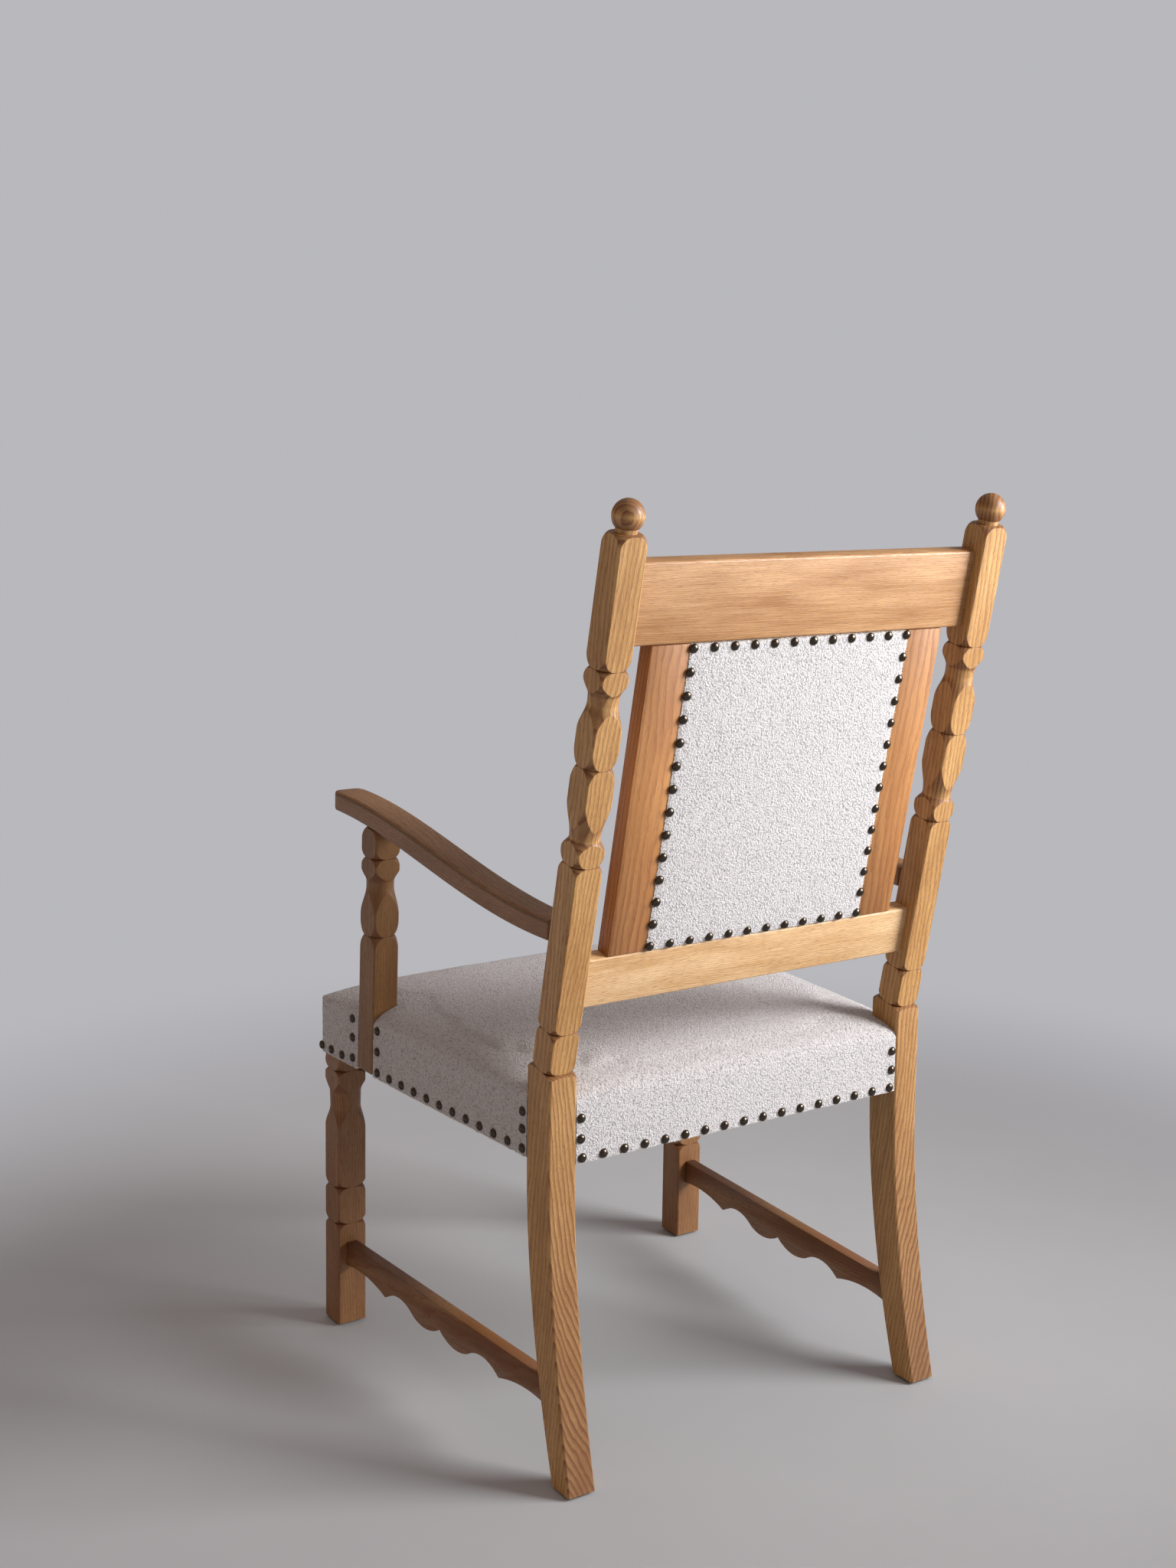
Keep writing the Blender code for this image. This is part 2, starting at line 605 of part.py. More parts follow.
def seat_rails(finish, post, leg):
    """Front and back rails between the legs, and side rails that follow the seat's taper."""
    height = RAIL_TOP - RAIL_BOTTOM
    level = (RAIL_TOP + RAIL_BOTTOM) / 2
    tenon_height = height - 2 * RAIL_TENON_SHOULDER

    front_y = LEG_FRONT_FACE_Y + FRONT_RAIL_THICKNESS / 2
    front = solid("seat_rail_front", bar((2 * (LEG_INNER_X - FIT), FRONT_RAIL_THICKNESS, height)), finish)
    front.location = (0, front_y, level)
    back_y = SEAT_REAR_Y - WOOD_INSET - BACK_RAIL_THICKNESS / 2
    back = solid("seat_rail_back", bar((2 * (POST_INNER_X - FIT), BACK_RAIL_THICKNESS, height)), finish)
    back.location = (0, back_y, level)
    size = (2 * RAIL_TENON_DEPTH, RAIL_TENON_THICKNESS, tenon_height)
    mortise_and_tenon("front_rail", None, (LEG_INNER_X, front_y, level), size, front, leg, front)
    size = (2 * BACK_RAIL_TENON_DEPTH, RAIL_TENON_THICKNESS, tenon_height)
    mortise_and_tenon("back_rail", None, (POST_INNER_X, back_y, level), size, back, post, back)

    ends = (LEG_REAR_Y + FIT, REAR_LEG_FRONT_Y - FIT)
    outline = [(seat_side_x(y) - WOOD_INSET, y) for y in ends]
    outline += [(side_rail_inner_x(y), y) for y in reversed(ends)]
    side_rail = solid("seat_rail_left", prism(outline, "Z", RAIL_BOTTOM, RAIL_TOP), finish)
    for name, y, into in (("side_rail_front", LEG_REAR_Y, leg), ("side_rail_rear", REAR_LEG_FRONT_Y, post)):
        x = (seat_side_x(y) - WOOD_INSET + side_rail_inner_x(y)) / 2
        size = (RAIL_TENON_THICKNESS, 2 * RAIL_TENON_DEPTH, tenon_height)
        mortise_and_tenon(name, None, (x, y, level), size, side_rail, into)
    return side_rail


def side_rail_inner_x(y):
    return seat_side_x(y) - WOOD_INSET - SIDE_RAIL_THICKNESS / math.cos(SPLAY)


def corner_blocks(finish):
    """Glued blocks in the corners of the seat frame, notched round the legs."""
    level = (RAIL_TOP + RAIL_BOTTOM) / 2
    low, high = level - CORNER_BLOCK_HEIGHT / 2, level + CORNER_BLOCK_HEIGHT / 2
    front_face = LEG_FRONT_FACE_Y + FRONT_RAIL_THICKNESS + FIT
    back_face = SEAT_REAR_Y - WOOD_INSET - BACK_RAIL_THICKNESS - FIT
    corners = (
        ("corner_block_front_left", LEG_INNER_X - FIT, front_face, LEG_REAR_Y + FIT, 1),
        ("corner_block_rear_left", POST_INNER_X - FIT, back_face, REAR_LEG_FRONT_Y - FIT, -1),
    )
    blocks = []
    for name, leg_x, rail_y, leg_y, inwards in corners:
        reach_y = leg_y + inwards * CORNER_BLOCK_REACH
        outline = [(leg_x - CORNER_BLOCK_REACH, rail_y), (leg_x, rail_y), (leg_x, leg_y)]
        outline += [(side_rail_inner_x(y) - FIT, y) for y in (leg_y, reach_y)]
        blocks.append(solid(name, prism(outline, "Z", low, high), finish))
    return blocks


def arm_support_left(finish, upright, leaning, armrest, side_rail):
    """A post turned from the square, lapped outside the seat rail and tenoned up into the armrest."""
    top_y = SUPPORT_Y + (ARM_REAR_HEIGHT - SUPPORT_REF_HEIGHT) * math.tan(SUPPORT_LEAN)
    share = arm_share_at(top_y)
    arm_z = arm_point(share).y
    up = lambda height: (height - SUPPORT_REF_HEIGHT) / math.cos(SUPPORT_LEAN)
    low, high = up(SUPPORT_BOTTOM), up(arm_z)
    size = (SUPPORT_SIDE, SUPPORT_SIDE, high - low)
    support = solid("arm_support_left", bar(size, (0, 0, (low + high) / 2)), finish, leaning)
    cut = turning("arm_support_turning", arm_z + 0.02, 0.018, SUPPORT_TURNING, leaning, (0, 0, 0), up)
    combine(support, "INTERSECT", cut)
    combine(support, "DIFFERENCE", solid("arm_clearance", armrest_shape(grow=FIT)))

    lap_x = SUPPORT_SIDE / 2 - SUPPORT_LAP
    over_rail = RAIL_TOP + FIT - SUPPORT_REF_HEIGHT
    room = bar((PAST, PAST, PAST), (lap_x - PAST / 2, 0, over_rail - PAST / 2))
    combine(support, "DIFFERENCE", solid("support_lap", room, parent=upright))
    notch = bar((PAST, SUPPORT_SIDE + 2 * FIT, 2 * PAST), (lap_x - FIT + PAST / 2, 0, 0))
    combine(side_rail, "DIFFERENCE", solid("support_notch", notch, parent=leaning))

    across, deep, tall = SUPPORT_TENON
    under_arm = up(arm_z - arm_thickness(share) / 2)
    mortise_and_tenon("arm_support", leaning, (0, 0, under_arm), (across, deep, 2 * tall), support, armrest)
    return support


def support_room(gap):
    """The space that cloth or foam is cut away for at an arm support, open to the outside."""
    inner = -SUPPORT_SIDE / 2 - gap
    outer = SUPPORT_SIDE
    return bar((outer - inner, SUPPORT_SIDE + 2 * gap, 4 * PAST), ((outer + inner) / 2, 0, 0))


def post_room(gap):
    """The space that cloth or foam is cut away for at both rear posts."""
    low_x, low_y = POST_INNER_X - gap, REAR_LEG_FRONT_Y - gap
    shape = bar((PAST, PAST, 4 * PAST), (low_x + PAST / 2, low_y + PAST / 2, RAIL_TOP))
    bmesh.ops.mirror(shape, geom=shape.verts[:] + shape.edges[:] + shape.faces[:], axis="X", merge_dist=0)
    bmesh.ops.recalc_face_normals(shape, faces=shape.faces)
    return shape


def armrest_left(finish, back, post):
    """An S in side view, tapering from its rounded nose to the post, where it is tenoned in."""
    arm = solid("armrest_left", armrest_shape(), finish, smooth=True)
    room = bar((PAST, PAST, PAST), (POST_X, PAST / 2 - POST_SIDE / 2 - FIT, up_post(ARM_REAR_HEIGHT)))
    combine(arm, "DIFFERENCE", solid("post_clearance", room, parent=back))
    wide, deep, tall = ARM_TENON
    centre = (POST_X, post_front_y(ARM_REAR_HEIGHT), ARM_REAR_HEIGHT)
    mortise_and_tenon("armrest", None, centre, (wide, 2 * deep, tall), arm, post)
    return arm


def stretcher_left(finish, post, leg):
    """A board with a lobed lower edge, from the front leg to the rear leg."""
    rear_y = leg_front_y(STRETCHER_TOP)
    middle_y = (LEG_REAR_Y + rear_y) / 2
    half_length = (rear_y - LEG_REAR_Y) / 2
    turn = math.atan2(FRONT_LEG_X - POST_X, rear_y - LEG_REAR_Y)
    place = frame("stretcher_frame", ((FRONT_LEG_X + POST_X) / 2, middle_y, 0), (0, 0, turn))

    end = (half_length, STRETCHER_END_EDGE)
    half_edge = [(0.0, STRETCHER_NOTCH)]
    for over, stop in (
        (STRETCHER_LOBE, STRETCHER_LOBE_START),
        (STRETCHER_INNER_COVE, STRETCHER_CUSP),
        (STRETCHER_OUTER_COVE, end),
    ):
        half_edge += arc(half_edge[-1], over, stop, STRETCHER_ARC_STEPS)
    half_edge.append((half_length + REAR_LEG_DEPTH, STRETCHER_END_EDGE))
    edge = [(-y, z) for y, z in reversed(half_edge[1:])] + half_edge
    outline = edge + [(edge[-1][0], STRETCHER_TOP), (edge[0][0], STRETCHER_TOP)]
    shape = prism(outline, "X", -STRETCHER_THICKNESS / 2, STRETCHER_THICKNESS / 2)
    on_arris = lambda vert: vert.co.x > 0 and vert.co.z > STRETCHER_TOP - 1e-6
    arris = [line for line in shape.edges if all(on_arris(vert) for vert in line.verts)]
    bmesh.ops.bevel(shape, geom=arris, offset=STRETCHER_CHAMFER, segments=1, affect="EDGES")
    stretcher = solid("side_stretcher_left", shape, finish, place)

    heights = LEG_HEIGHTS[: STRETCHER_STEPS + 1]
    between = [(leg_front_y(height) - FIT, height) for height in heights]
    between += [(LEG_REAR_Y + FIT, height) for height in (heights[-1], heights[0])]
    combine(stretcher, "INTERSECT", solid("between_legs", prism(between, "X", 0.0, FRONT_LEG_X + PAST)))
    wide, deep, tall = STRETCHER_TENON
    level = (STRETCHER_TOP + STRETCHER_END_EDGE) / 2
    size = (wide, 2 * deep, tall)
    mortise_and_tenon("stretcher_front", place, (0, -half_length, level), size, stretcher, leg)
    mortise_and_tenon("stretcher_rear", place, (0, leg_front_y(level) - middle_y, level), size, stretcher, post)
    return stretcher


def back_rail(name, bottom, top, finish, back, post):
    """A rail between the posts, in the plane of the back."""
    low, high = up_post(bottom), up_post(top)
    depth = BACK_REAR_OFFSET - BACK_FRONT_OFFSET
    size = (2 * (POST_INNER_X - FIT), depth, high - low)
    rail = solid(name, bar(size, ease=BACK_RAIL_EASE), finish, back, smooth=True)
    rail.location = (0, BACK_REAR_OFFSET - depth / 2, (low + high) / 2)
    tenon = (2 * BACK_TENON_DEPTH, BACK_TENON_THICKNESS, high - low - 2 * BACK_TENON_SHOULDER)
    centre = (POST_INNER_X, rail.location.y, rail.location.z)
    mortise_and_tenon(name, back, centre, tenon, rail, post, rail)
    return rail


def back_stile_left(finish, back, crest, lower):
    """A stile with a set-back lip on its inner edge for the cloth, tenoned into both rails."""
    front = BACK_REAR_OFFSET - STILE_THICKNESS
    panel_x = STILE_OUTER_X - STILE_WIDTH
    lip_x = panel_x - STILE_LIP
    rebate = BACK_REAR_OFFSET - STILE_REBATE
    outline = [(STILE_OUTER_X, front), (STILE_OUTER_X, BACK_REAR_OFFSET), (panel_x, BACK_REAR_OFFSET)]
    outline += [(panel_x, rebate), (lip_x, rebate), (lip_x, front)]
    low, high = up_post(LOWER_RAIL_TOP), up_post(CREST_BOTTOM)
    stile = solid("back_stile_left", prism(outline, "Z", low + FIT, high - FIT), finish, back)
    wide, thick, deep = STILE_TENON
    for end, rail, level in (("bottom", lower, low), ("top", crest, high)):
        centre = ((STILE_OUTER_X + panel_x) / 2, BACK_REAR_OFFSET - STILE_THICKNESS / 2, level)
        mortise_and_tenon(f"stile_{end}", back, centre, (wide, thick, 2 * deep), stile, rail, rail)
    return stile


def inner_rail(name, low, finish, back, stile):
    """A rail that the cloth's top or bottom edge is nailed to, behind the panel."""
    front = BACK_REAR_OFFSET - STILE_THICKNESS
    rebate = BACK_REAR_OFFSET - STILE_REBATE
    lip_x = STILE_OUTER_X - STILE_WIDTH - STILE_LIP
    rail = solid(name, bar((2 * (lip_x - FIT), rebate - front, INNER_RAIL_HEIGHT)), finish, back)
    rail.location = (0, (front + rebate) / 2, low + INNER_RAIL_HEIGHT / 2)
    deep, thick, tall = INNER_RAIL_TENON
    centre = (lip_x, rail.location.y, rail.location.z)
    mortise_and_tenon(name, back, centre, (2 * deep, thick, tall), rail, stile, rail)


def back_panel(finish, back):
    """The outside back's cloth on its backing, level with the stiles."""
    low, high = up_post(LOWER_RAIL_TOP) + FIT, up_post(CREST_BOTTOM) - FIT
    thickness = STILE_REBATE - FIT
    half_width = STILE_OUTER_X - STILE_WIDTH - FIT
    shape = bar((2 * half_width, thickness, high - low))
    outer = [edge for edge in shape.edges if all(vert.co.y > 0 for vert in edge.verts)]
    bmesh.ops.bevel(shape, geom=outer, offset=PANEL_EDGE_ROUND, segments=1, affect="EDGES")
    panel = solid("back_rear_cover", shape, finish, back)
    panel.location = (0, BACK_REAR_OFFSET - thickness / 2, (low + high) / 2)
    return panel


def back_pad(cloth, filling, webbing, back):
    """Webs, foam and a crowned cover on the front of the back frame, with Z out of its front."""
    face = BACK_REAR_OFFSET - STILE_THICKNESS
    pad = frame("back_pad_frame", (0, face, 0), (math.pi / 2, 0, 0), back)
    half_width = STILE_OUTER_X - STILE_WIDTH + BACK_PAD_OVERLAP
    low = up_post(LOWER_RAIL_TOP) + BACK_PAD_MARGIN
    high = up_post(CREST_BOTTOM) - BACK_PAD_MARGIN

    def top(x, y):
        across = min(1.0, abs(x) / half_width)
        along = min(1.0, abs(2 * y - low - high) / (high - low))
        steep, steep_along = BACK_PAD_FULLNESS
        return BACK_PAD_EDGE + BACK_PAD_CROWN * math.sqrt(1 - across**steep) * math.sqrt(1 - along**steep_along)

    def form(inset, drop, base):
        radius = max(BACK_PAD_CORNER_RADIUS - inset, BACK_PAD_CORNER_LEFT)
        width = rounded_half_width(lambda y: half_width - inset, low + inset, radius)
        dome = lambda x, y: top(x, y) - drop
        return crowned(width, low + inset, high - inset, base, dome, BACK_CROWN_ROWS, BACK_PAD_COLUMNS)

    cover = solid("back_front_cover", form(0, 0, FIT), cloth, pad, smooth=True)
    inside = form(BACK_COVER_THICKNESS, BACK_COVER_THICKNESS, -BACK_COVER_THICKNESS)
    combine(cover, "DIFFERENCE", solid("back_cover_inside", inside, parent=pad))
    room = BACK_COVER_THICKNESS + FIT
    solid("back_foam", form(room, room, WEB_THICKNESS + 2 * FIT), filling, pad)
    reach = 2 * (half_width - room)
    for number, share in enumerate(BACK_WEB_SHARES, 1):
        web = solid(f"back_web_{number}", bar((reach, WEB_WIDTH, WEB_THICKNESS)), webbing, pad)
        web.location = (0, low + (high - low) * share, FIT + WEB_THICKNESS / 2)


def seat_web(name, along_x, place, ends, crossings, over_first, finish):
    """A strap over two rails that passes over and under the straps it crosses."""
    rest = RAIL_TOP + FIT + WEB_THICKNESS / 2
    raised = rest + WEB_THICKNESS + FIT
    flat = WEB_WIDTH / 2 + WEB_THICKNESS
    path = [(ends[0], rest)]
    for number, crossing in enumerate(crossings):
        level = raised if (number % 2 == 0) == over_first else rest
        path += [(crossing - flat, level), (crossing + flat, level)]
    path.append((ends[1], rest))
    half = WEB_WIDTH / 2
    section = [(-half, -1), (half, -1), (half, 1), (-half, 1)]
    rings = []
    for reach, level in path:
        ring = [(place + across, reach, level + up * WEB_THICKNESS / 2) for across, up in section]
        rings.append([(y, x, z) for x, y, z in ring] if along_x else ring)
    return solid(name, loft(rings), finish)


def seat_webbing(finish):
    front, rear = LEG_FRONT_FACE_Y + WEB_END_MARGIN, SEAT_REAR_Y - WOOD_INSET - WEB_END_MARGIN
    for number, x in enumerate(LONG_WEB_XS, 1):
        seat_web(f"seat_web_long_{number}", False, x, (front, rear), CROSS_WEB_YS, number % 2 == 0, finish)
    for number, y in enumerate(CROSS_WEB_YS, 1):
        end = seat_side_x(y + WEB_WIDTH / 2) - WOOD_INSET - WEB_END_MARGIN
        seat_web(f"seat_web_cross_{number}", True, y, (-end, end), LONG_WEB_XS, number % 2 == 1, finish)


def seat_upholstery(cloth, filling, support_frame):
    """The fitted cover and the foam under it, both cut round the posts and the supports."""
    cover = solid("seat_cover", seat_form(0, 0, SEAT_BOTTOM), cloth, smooth=True)
    inside = seat_form(COVER_THICKNESS, COVER_THICKNESS, SEAT_BOTTOM - COVER_THICKNESS)
    combine(cover, "DIFFERENCE", solid("seat_cover_inside", inside))
    base = RAIL_TOP + 2 * WEB_THICKNESS + 3 * FIT
    drop = COVER_THICKNESS + FIT
    foam = solid("seat_foam", seat_form(COVER_THICKNESS + CLOTH_GAP, drop, base), filling)
    for piece, gap, post_gap in ((cover, SUPPORT_CUT_GAP, FIT), (foam, FOAM_CUT_GAP, FOAM_CUT_GAP)):
        combine(piece, "DIFFERENCE", solid(f"{piece.name}_post_cut", post_room(post_gap)))
        notch = solid(f"{piece.name}_support_cut_left", support_room(gap), parent=support_frame)
        combine(piece, "DIFFERENCE", notch)
        combine(piece, "DIFFERENCE", mirrored(notch))


def dust_cover(finish):
    """Thin cloth under the rails, cut round the legs."""
    top = RAIL_BOTTOM - FIT
    front = LEG_FRONT_FACE_Y + DUST_COVER_END_MARGIN
    rear = SEAT_REAR_Y - WOOD_INSET - DUST_COVER_END_MARGIN
    inner = lambda y: seat_side_x(y) - DUST_COVER_MARGIN
    leg_x, leg_y = LEG_INNER_X - DUST_COVER_CUT, LEG_REAR_Y + DUST_COVER_CUT
    post_x, post_y = POST_INNER_X - DUST_COVER_CUT, REAR_LEG_FRONT_Y - DUST_COVER_CUT
    half = [(leg_x, front), (leg_x, leg_y), (inner(leg_y), leg_y)]
    half += [(inner(post_y), post_y), (post_x, post_y), (post_x, rear)]
    outline = half + [(-x, y) for x, y in reversed(half)]
    return solid("dust_cover", prism(outline, "Z", top - DUST_COVER_THICKNESS, top), finish)


def glide(name, x, y, finish):
    shape = bmesh.new()
    radius = GLIDE_DIAMETER / 2
    bmesh.ops.create_cone(
        shape, cap_ends=True, segments=TURNED_SIDES, radius1=radius, radius2=radius, depth=GLIDE_HEIGHT
    )
    pad = solid(name, shape, finish)
    pad.location = (x, y, GLIDE_HEIGHT / 2)
    return pad


def main():
    for old in list(bpy.data.objects):
        bpy.data.objects.remove(old)
    oak = material("oak", (0.50, 0.30, 0.13), 0.42)
    frame_wood = material("frame_wood", (0.52, 0.38, 0.22), 0.7)
    cloth = material("cloth", (0.62, 0.60, 0.56), 0.95)
    foam = material("foam", (0.72, 0.66, 0.50), 0.95)
    webbing = material("webbing", (0.42, 0.33, 0.20), 0.9)
    lining = material("lining", (0.03, 0.03, 0.03), 0.9)
    felt = material("felt", (0.05, 0.04, 0.035), 0.9)

    back = frame("back_frame", (0, POST_Y, POST_REF_HEIGHT), (-POST_RAKE, 0, 0))
    support_x = support_outer_x(SUPPORT_Y) - SUPPORT_SIDE / 2 / math.cos(SPLAY)
    upright = frame("support_place", (support_x, SUPPORT_Y, SUPPORT_REF_HEIGHT), (0, 0, SPLAY))
    leaning = frame("support_axis", rotation=(-SUPPORT_LEAN, 0, 0), parent=upright)

    post = post_left(oak, back)
    leg = front_leg_left(oak)
    combine(leg, "DIFFERENCE", upholstery_room())
    armrest = armrest_left(oak, back, post)
    stretcher = stretcher_left(oak, post, leg)
    side_rail = seat_rails(frame_wood, post, leg)
    support = arm_support_left(oak, upright, leaning, armrest, side_rail)
    blocks = corner_blocks(frame_wood)

    crest = back_rail("crest_rail", CREST_BOTTOM, CREST_BOTTOM + CREST_HEIGHT, oak, back, post)
    lower = back_rail("lower_back_rail", LOWER_RAIL_TOP - LOWER_RAIL_HEIGHT, LOWER_RAIL_TOP, oak, back, post)
    stile = back_stile_left(oak, back, crest, lower)
    inner_rail("back_frame_bottom_rail", up_post(LOWER_RAIL_TOP) + FIT, frame_wood, back, stile)
    inner_rail("back_frame_top_rail", up_post(CREST_BOTTOM) - FIT - INNER_RAIL_HEIGHT, frame_wood, back, stile)
    back_panel(cloth, back)
    back_pad(cloth, foam, webbing, back)

    seat_webbing(webbing)
    seat_upholstery(cloth, foam, leaning)
    dust_cover(lining)
    rear_foot_y = (leg_front_y(FOOT_HEIGHT) + leg_back_y(FOOT_HEIGHT)) / 2
    glides = [glide("glide_front_left", FRONT_LEG_X, FRONT_LEG_Y, felt)]
    glides.append(glide("glide_rear_left", POST_X, rear_foot_y, felt))

    for piece in [post, leg, armrest, stretcher, side_rail, support, stile, *blocks, *glides]:
        mirrored(piece)


main()
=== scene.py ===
"""The looks of a carved oak armchair with an upholstered seat and back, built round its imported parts.

Metres, +Z up, the front towards -Y and the floor at Z = 0.
The sections follow the chair as it is put together.
"""

import math
import random

import bmesh
import bpy
from mathutils import Matrix, Vector, noise


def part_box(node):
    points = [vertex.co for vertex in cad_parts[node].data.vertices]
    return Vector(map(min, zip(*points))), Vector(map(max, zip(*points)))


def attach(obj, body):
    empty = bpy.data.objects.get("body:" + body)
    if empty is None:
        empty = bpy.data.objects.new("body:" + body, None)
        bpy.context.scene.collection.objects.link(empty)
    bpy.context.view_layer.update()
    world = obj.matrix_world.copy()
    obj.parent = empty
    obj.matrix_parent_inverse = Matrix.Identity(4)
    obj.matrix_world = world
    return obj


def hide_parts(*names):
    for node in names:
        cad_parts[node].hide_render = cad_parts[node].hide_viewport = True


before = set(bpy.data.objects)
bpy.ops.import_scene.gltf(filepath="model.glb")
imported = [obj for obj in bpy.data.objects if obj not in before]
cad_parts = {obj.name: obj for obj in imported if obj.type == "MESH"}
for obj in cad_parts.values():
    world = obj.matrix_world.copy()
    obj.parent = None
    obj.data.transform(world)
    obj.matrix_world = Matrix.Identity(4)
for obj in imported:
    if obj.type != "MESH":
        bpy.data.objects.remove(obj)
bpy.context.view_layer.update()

# Camera: standing behind the chair's rear corner, a little above its back and turned slightly down.
# The shift is what is left of the picture's crop.
eye = Vector((1.42563, 1.99211, 1.19899))
yaw, pitch, roll = 0.58712, 0.13020, 0.014309
ahead = Vector((-math.sin(yaw) * math.cos(pitch), -math.cos(yaw) * math.cos(pitch), -math.sin(pitch)))
level_right = ahead.cross(Vector((0, 0, 1))).normalized()
level_up = level_right.cross(ahead)
right = math.cos(roll) * level_right + math.sin(roll) * level_up
up = math.cos(roll) * level_up - math.sin(roll) * level_right


def linked(name, data):
    """A new object in the scene."""
    new = bpy.data.objects.new(name, data)
    bpy.context.scene.collection.objects.link(new)
    return new


lens = bpy.data.cameras.new("camera")
lens.sensor_fit = "VERTICAL"
lens.sensor_height = 36
lens.lens = 46.06
lens.shift_y = -0.0679
camera = linked("camera", lens)
camera.matrix_world = Matrix.Translation(eye) @ Matrix((right, up, -ahead)).transposed().to_4x4()
bpy.context.scene.camera = camera
bpy.context.scene.view_settings.view_transform = "Standard"


# Light: one large soft window to the right of the camera, and a pale room that fills the shade.
# What the camera sees past the floor has the floor's own tone, so that no horizon shows.
def linear(code):
    """An sRGB hex colour as linear RGBA."""
    parts = [int(code[start : start + 2], 16) / 255 for start in (1, 3, 5)]
    return (*[part / 12.92 if part <= 0.04045 else ((part + 0.055) / 1.055) ** 2.4 for part in parts], 1.0)


def add(tree, kind, inputs, out=0, **settings):
    """Adds a node and gives one of its outputs. Inputs are values, hex colours or other nodes' outputs."""
    new = tree.nodes.new("ShaderNode" + kind)
    for name, value in settings.items():
        setattr(new, name, value)
    for name, value in inputs.items():
        if isinstance(value, bpy.types.NodeSocket):
            tree.links.new(value, new.inputs[name])
        else:
            new.inputs[name].default_value = linear(value) if isinstance(value, str) else value
    return new.outputs[out] if new.outputs else None


window = linked("window", bpy.data.lights.new("window", "AREA"))
window.data.shape = "RECTANGLE"
window.data.size, window.data.size_y = 1.3, 1.5
window.data.energy = 34
window.data.spread = math.radians(80)
window.data.color = (1.0, 0.99, 0.99)
window_at, window_to = Vector((-1.75, 1.55, 1.60)), Vector((-0.30, 0.10, 1.12))
window.matrix_world = (window_at - window_to).to_track_quat("Z", "Y").to_matrix().to_4x4()
window.location = window_at

BACKDROP = "#b8b8bd"
room = bpy.data.worlds.new("room")
room.use_nodes = True
bpy.context.scene.world = room
tree = room.node_tree
tree.nodes.clear()
towards = add(tree, "TexCoord", {}, "Generated")
BRIGHTEST = (-0.60, 0.35, 0.72)  # the room's bright side
facing = add(tree, "VectorMath", {0: towards, 1: BRIGHTEST}, "Value", operation="DOT_PRODUCT")
facing = add(tree, "MapRange", {"Value": facing, "From Min": -0.7})
level = add(tree, "MapRange", {"Value": facing, "To Min": 0.30, "To Max": 0.44})
tint = add(tree, "Mix", {"Factor": facing, 6: "#ffca98", 7: "#eef0fa"}, 2, data_type="RGBA")
fill = add(tree, "Background", {"Color": tint, "Strength": level})
backdrop = add(tree, "Background", {"Color": BACKDROP, "Strength": 1.0})
seen = add(tree, "LightPath", {}, "Is Camera Ray")
seen = add(tree, "MixShader", {"Fac": seen, 1: fill, 2: backdrop})
add(tree, "OutputWorld", {"Surface": seen})


# Floor: sealed pale grey screed, trowelled smooth but not glossy.
# It fades into the backdrop 0.75 to 1.9 m out, so that no edge shows.
def material(name):
    """A new material, its empty node tree, and its Object coordinates."""
    new = bpy.data.materials.new(name)
    new.use_nodes = True
    new.node_tree.nodes.clear()
    return new, new.node_tree, add(new.node_tree, "TexCoord", {}, "Object")


bpy.ops.mesh.primitive_circle_add(vertices=96, radius=14, fill_type="NGON")
floor = bpy.context.object
floor.name = "floor"
screed, tree, place = material("sealed_screed")
cloud = add(tree, "TexNoise", {"Vector": place, "Scale": 2.2, "Detail": 5.0, "Roughness": 0.6})
tone = add(tree, "Mix", {0: cloud, 6: "#b2b4b6", 7: "#bfc1c4"}, 2, data_type="RGBA")
body = add(tree, "BsdfPrincipled", {"Base Color": tone, "Roughness": 0.62})
far = add(tree, "Emission", {"Color": BACKDROP, "Strength": 1.0})
reach = add(tree, "VectorMath", {0: place}, "Value", operation="LENGTH")
fade = {"Value": reach, "From Min": 0.75, "From Max": 1.9}
fade = add(tree, "MapRange", fade, interpolation_type="SMOOTHSTEP")
both = add(tree, "MixShader", {"Fac": fade, 1: body, 2: far})
add(tree, "OutputMaterial", {"Surface": both})
floor.data.materials.append(screed)


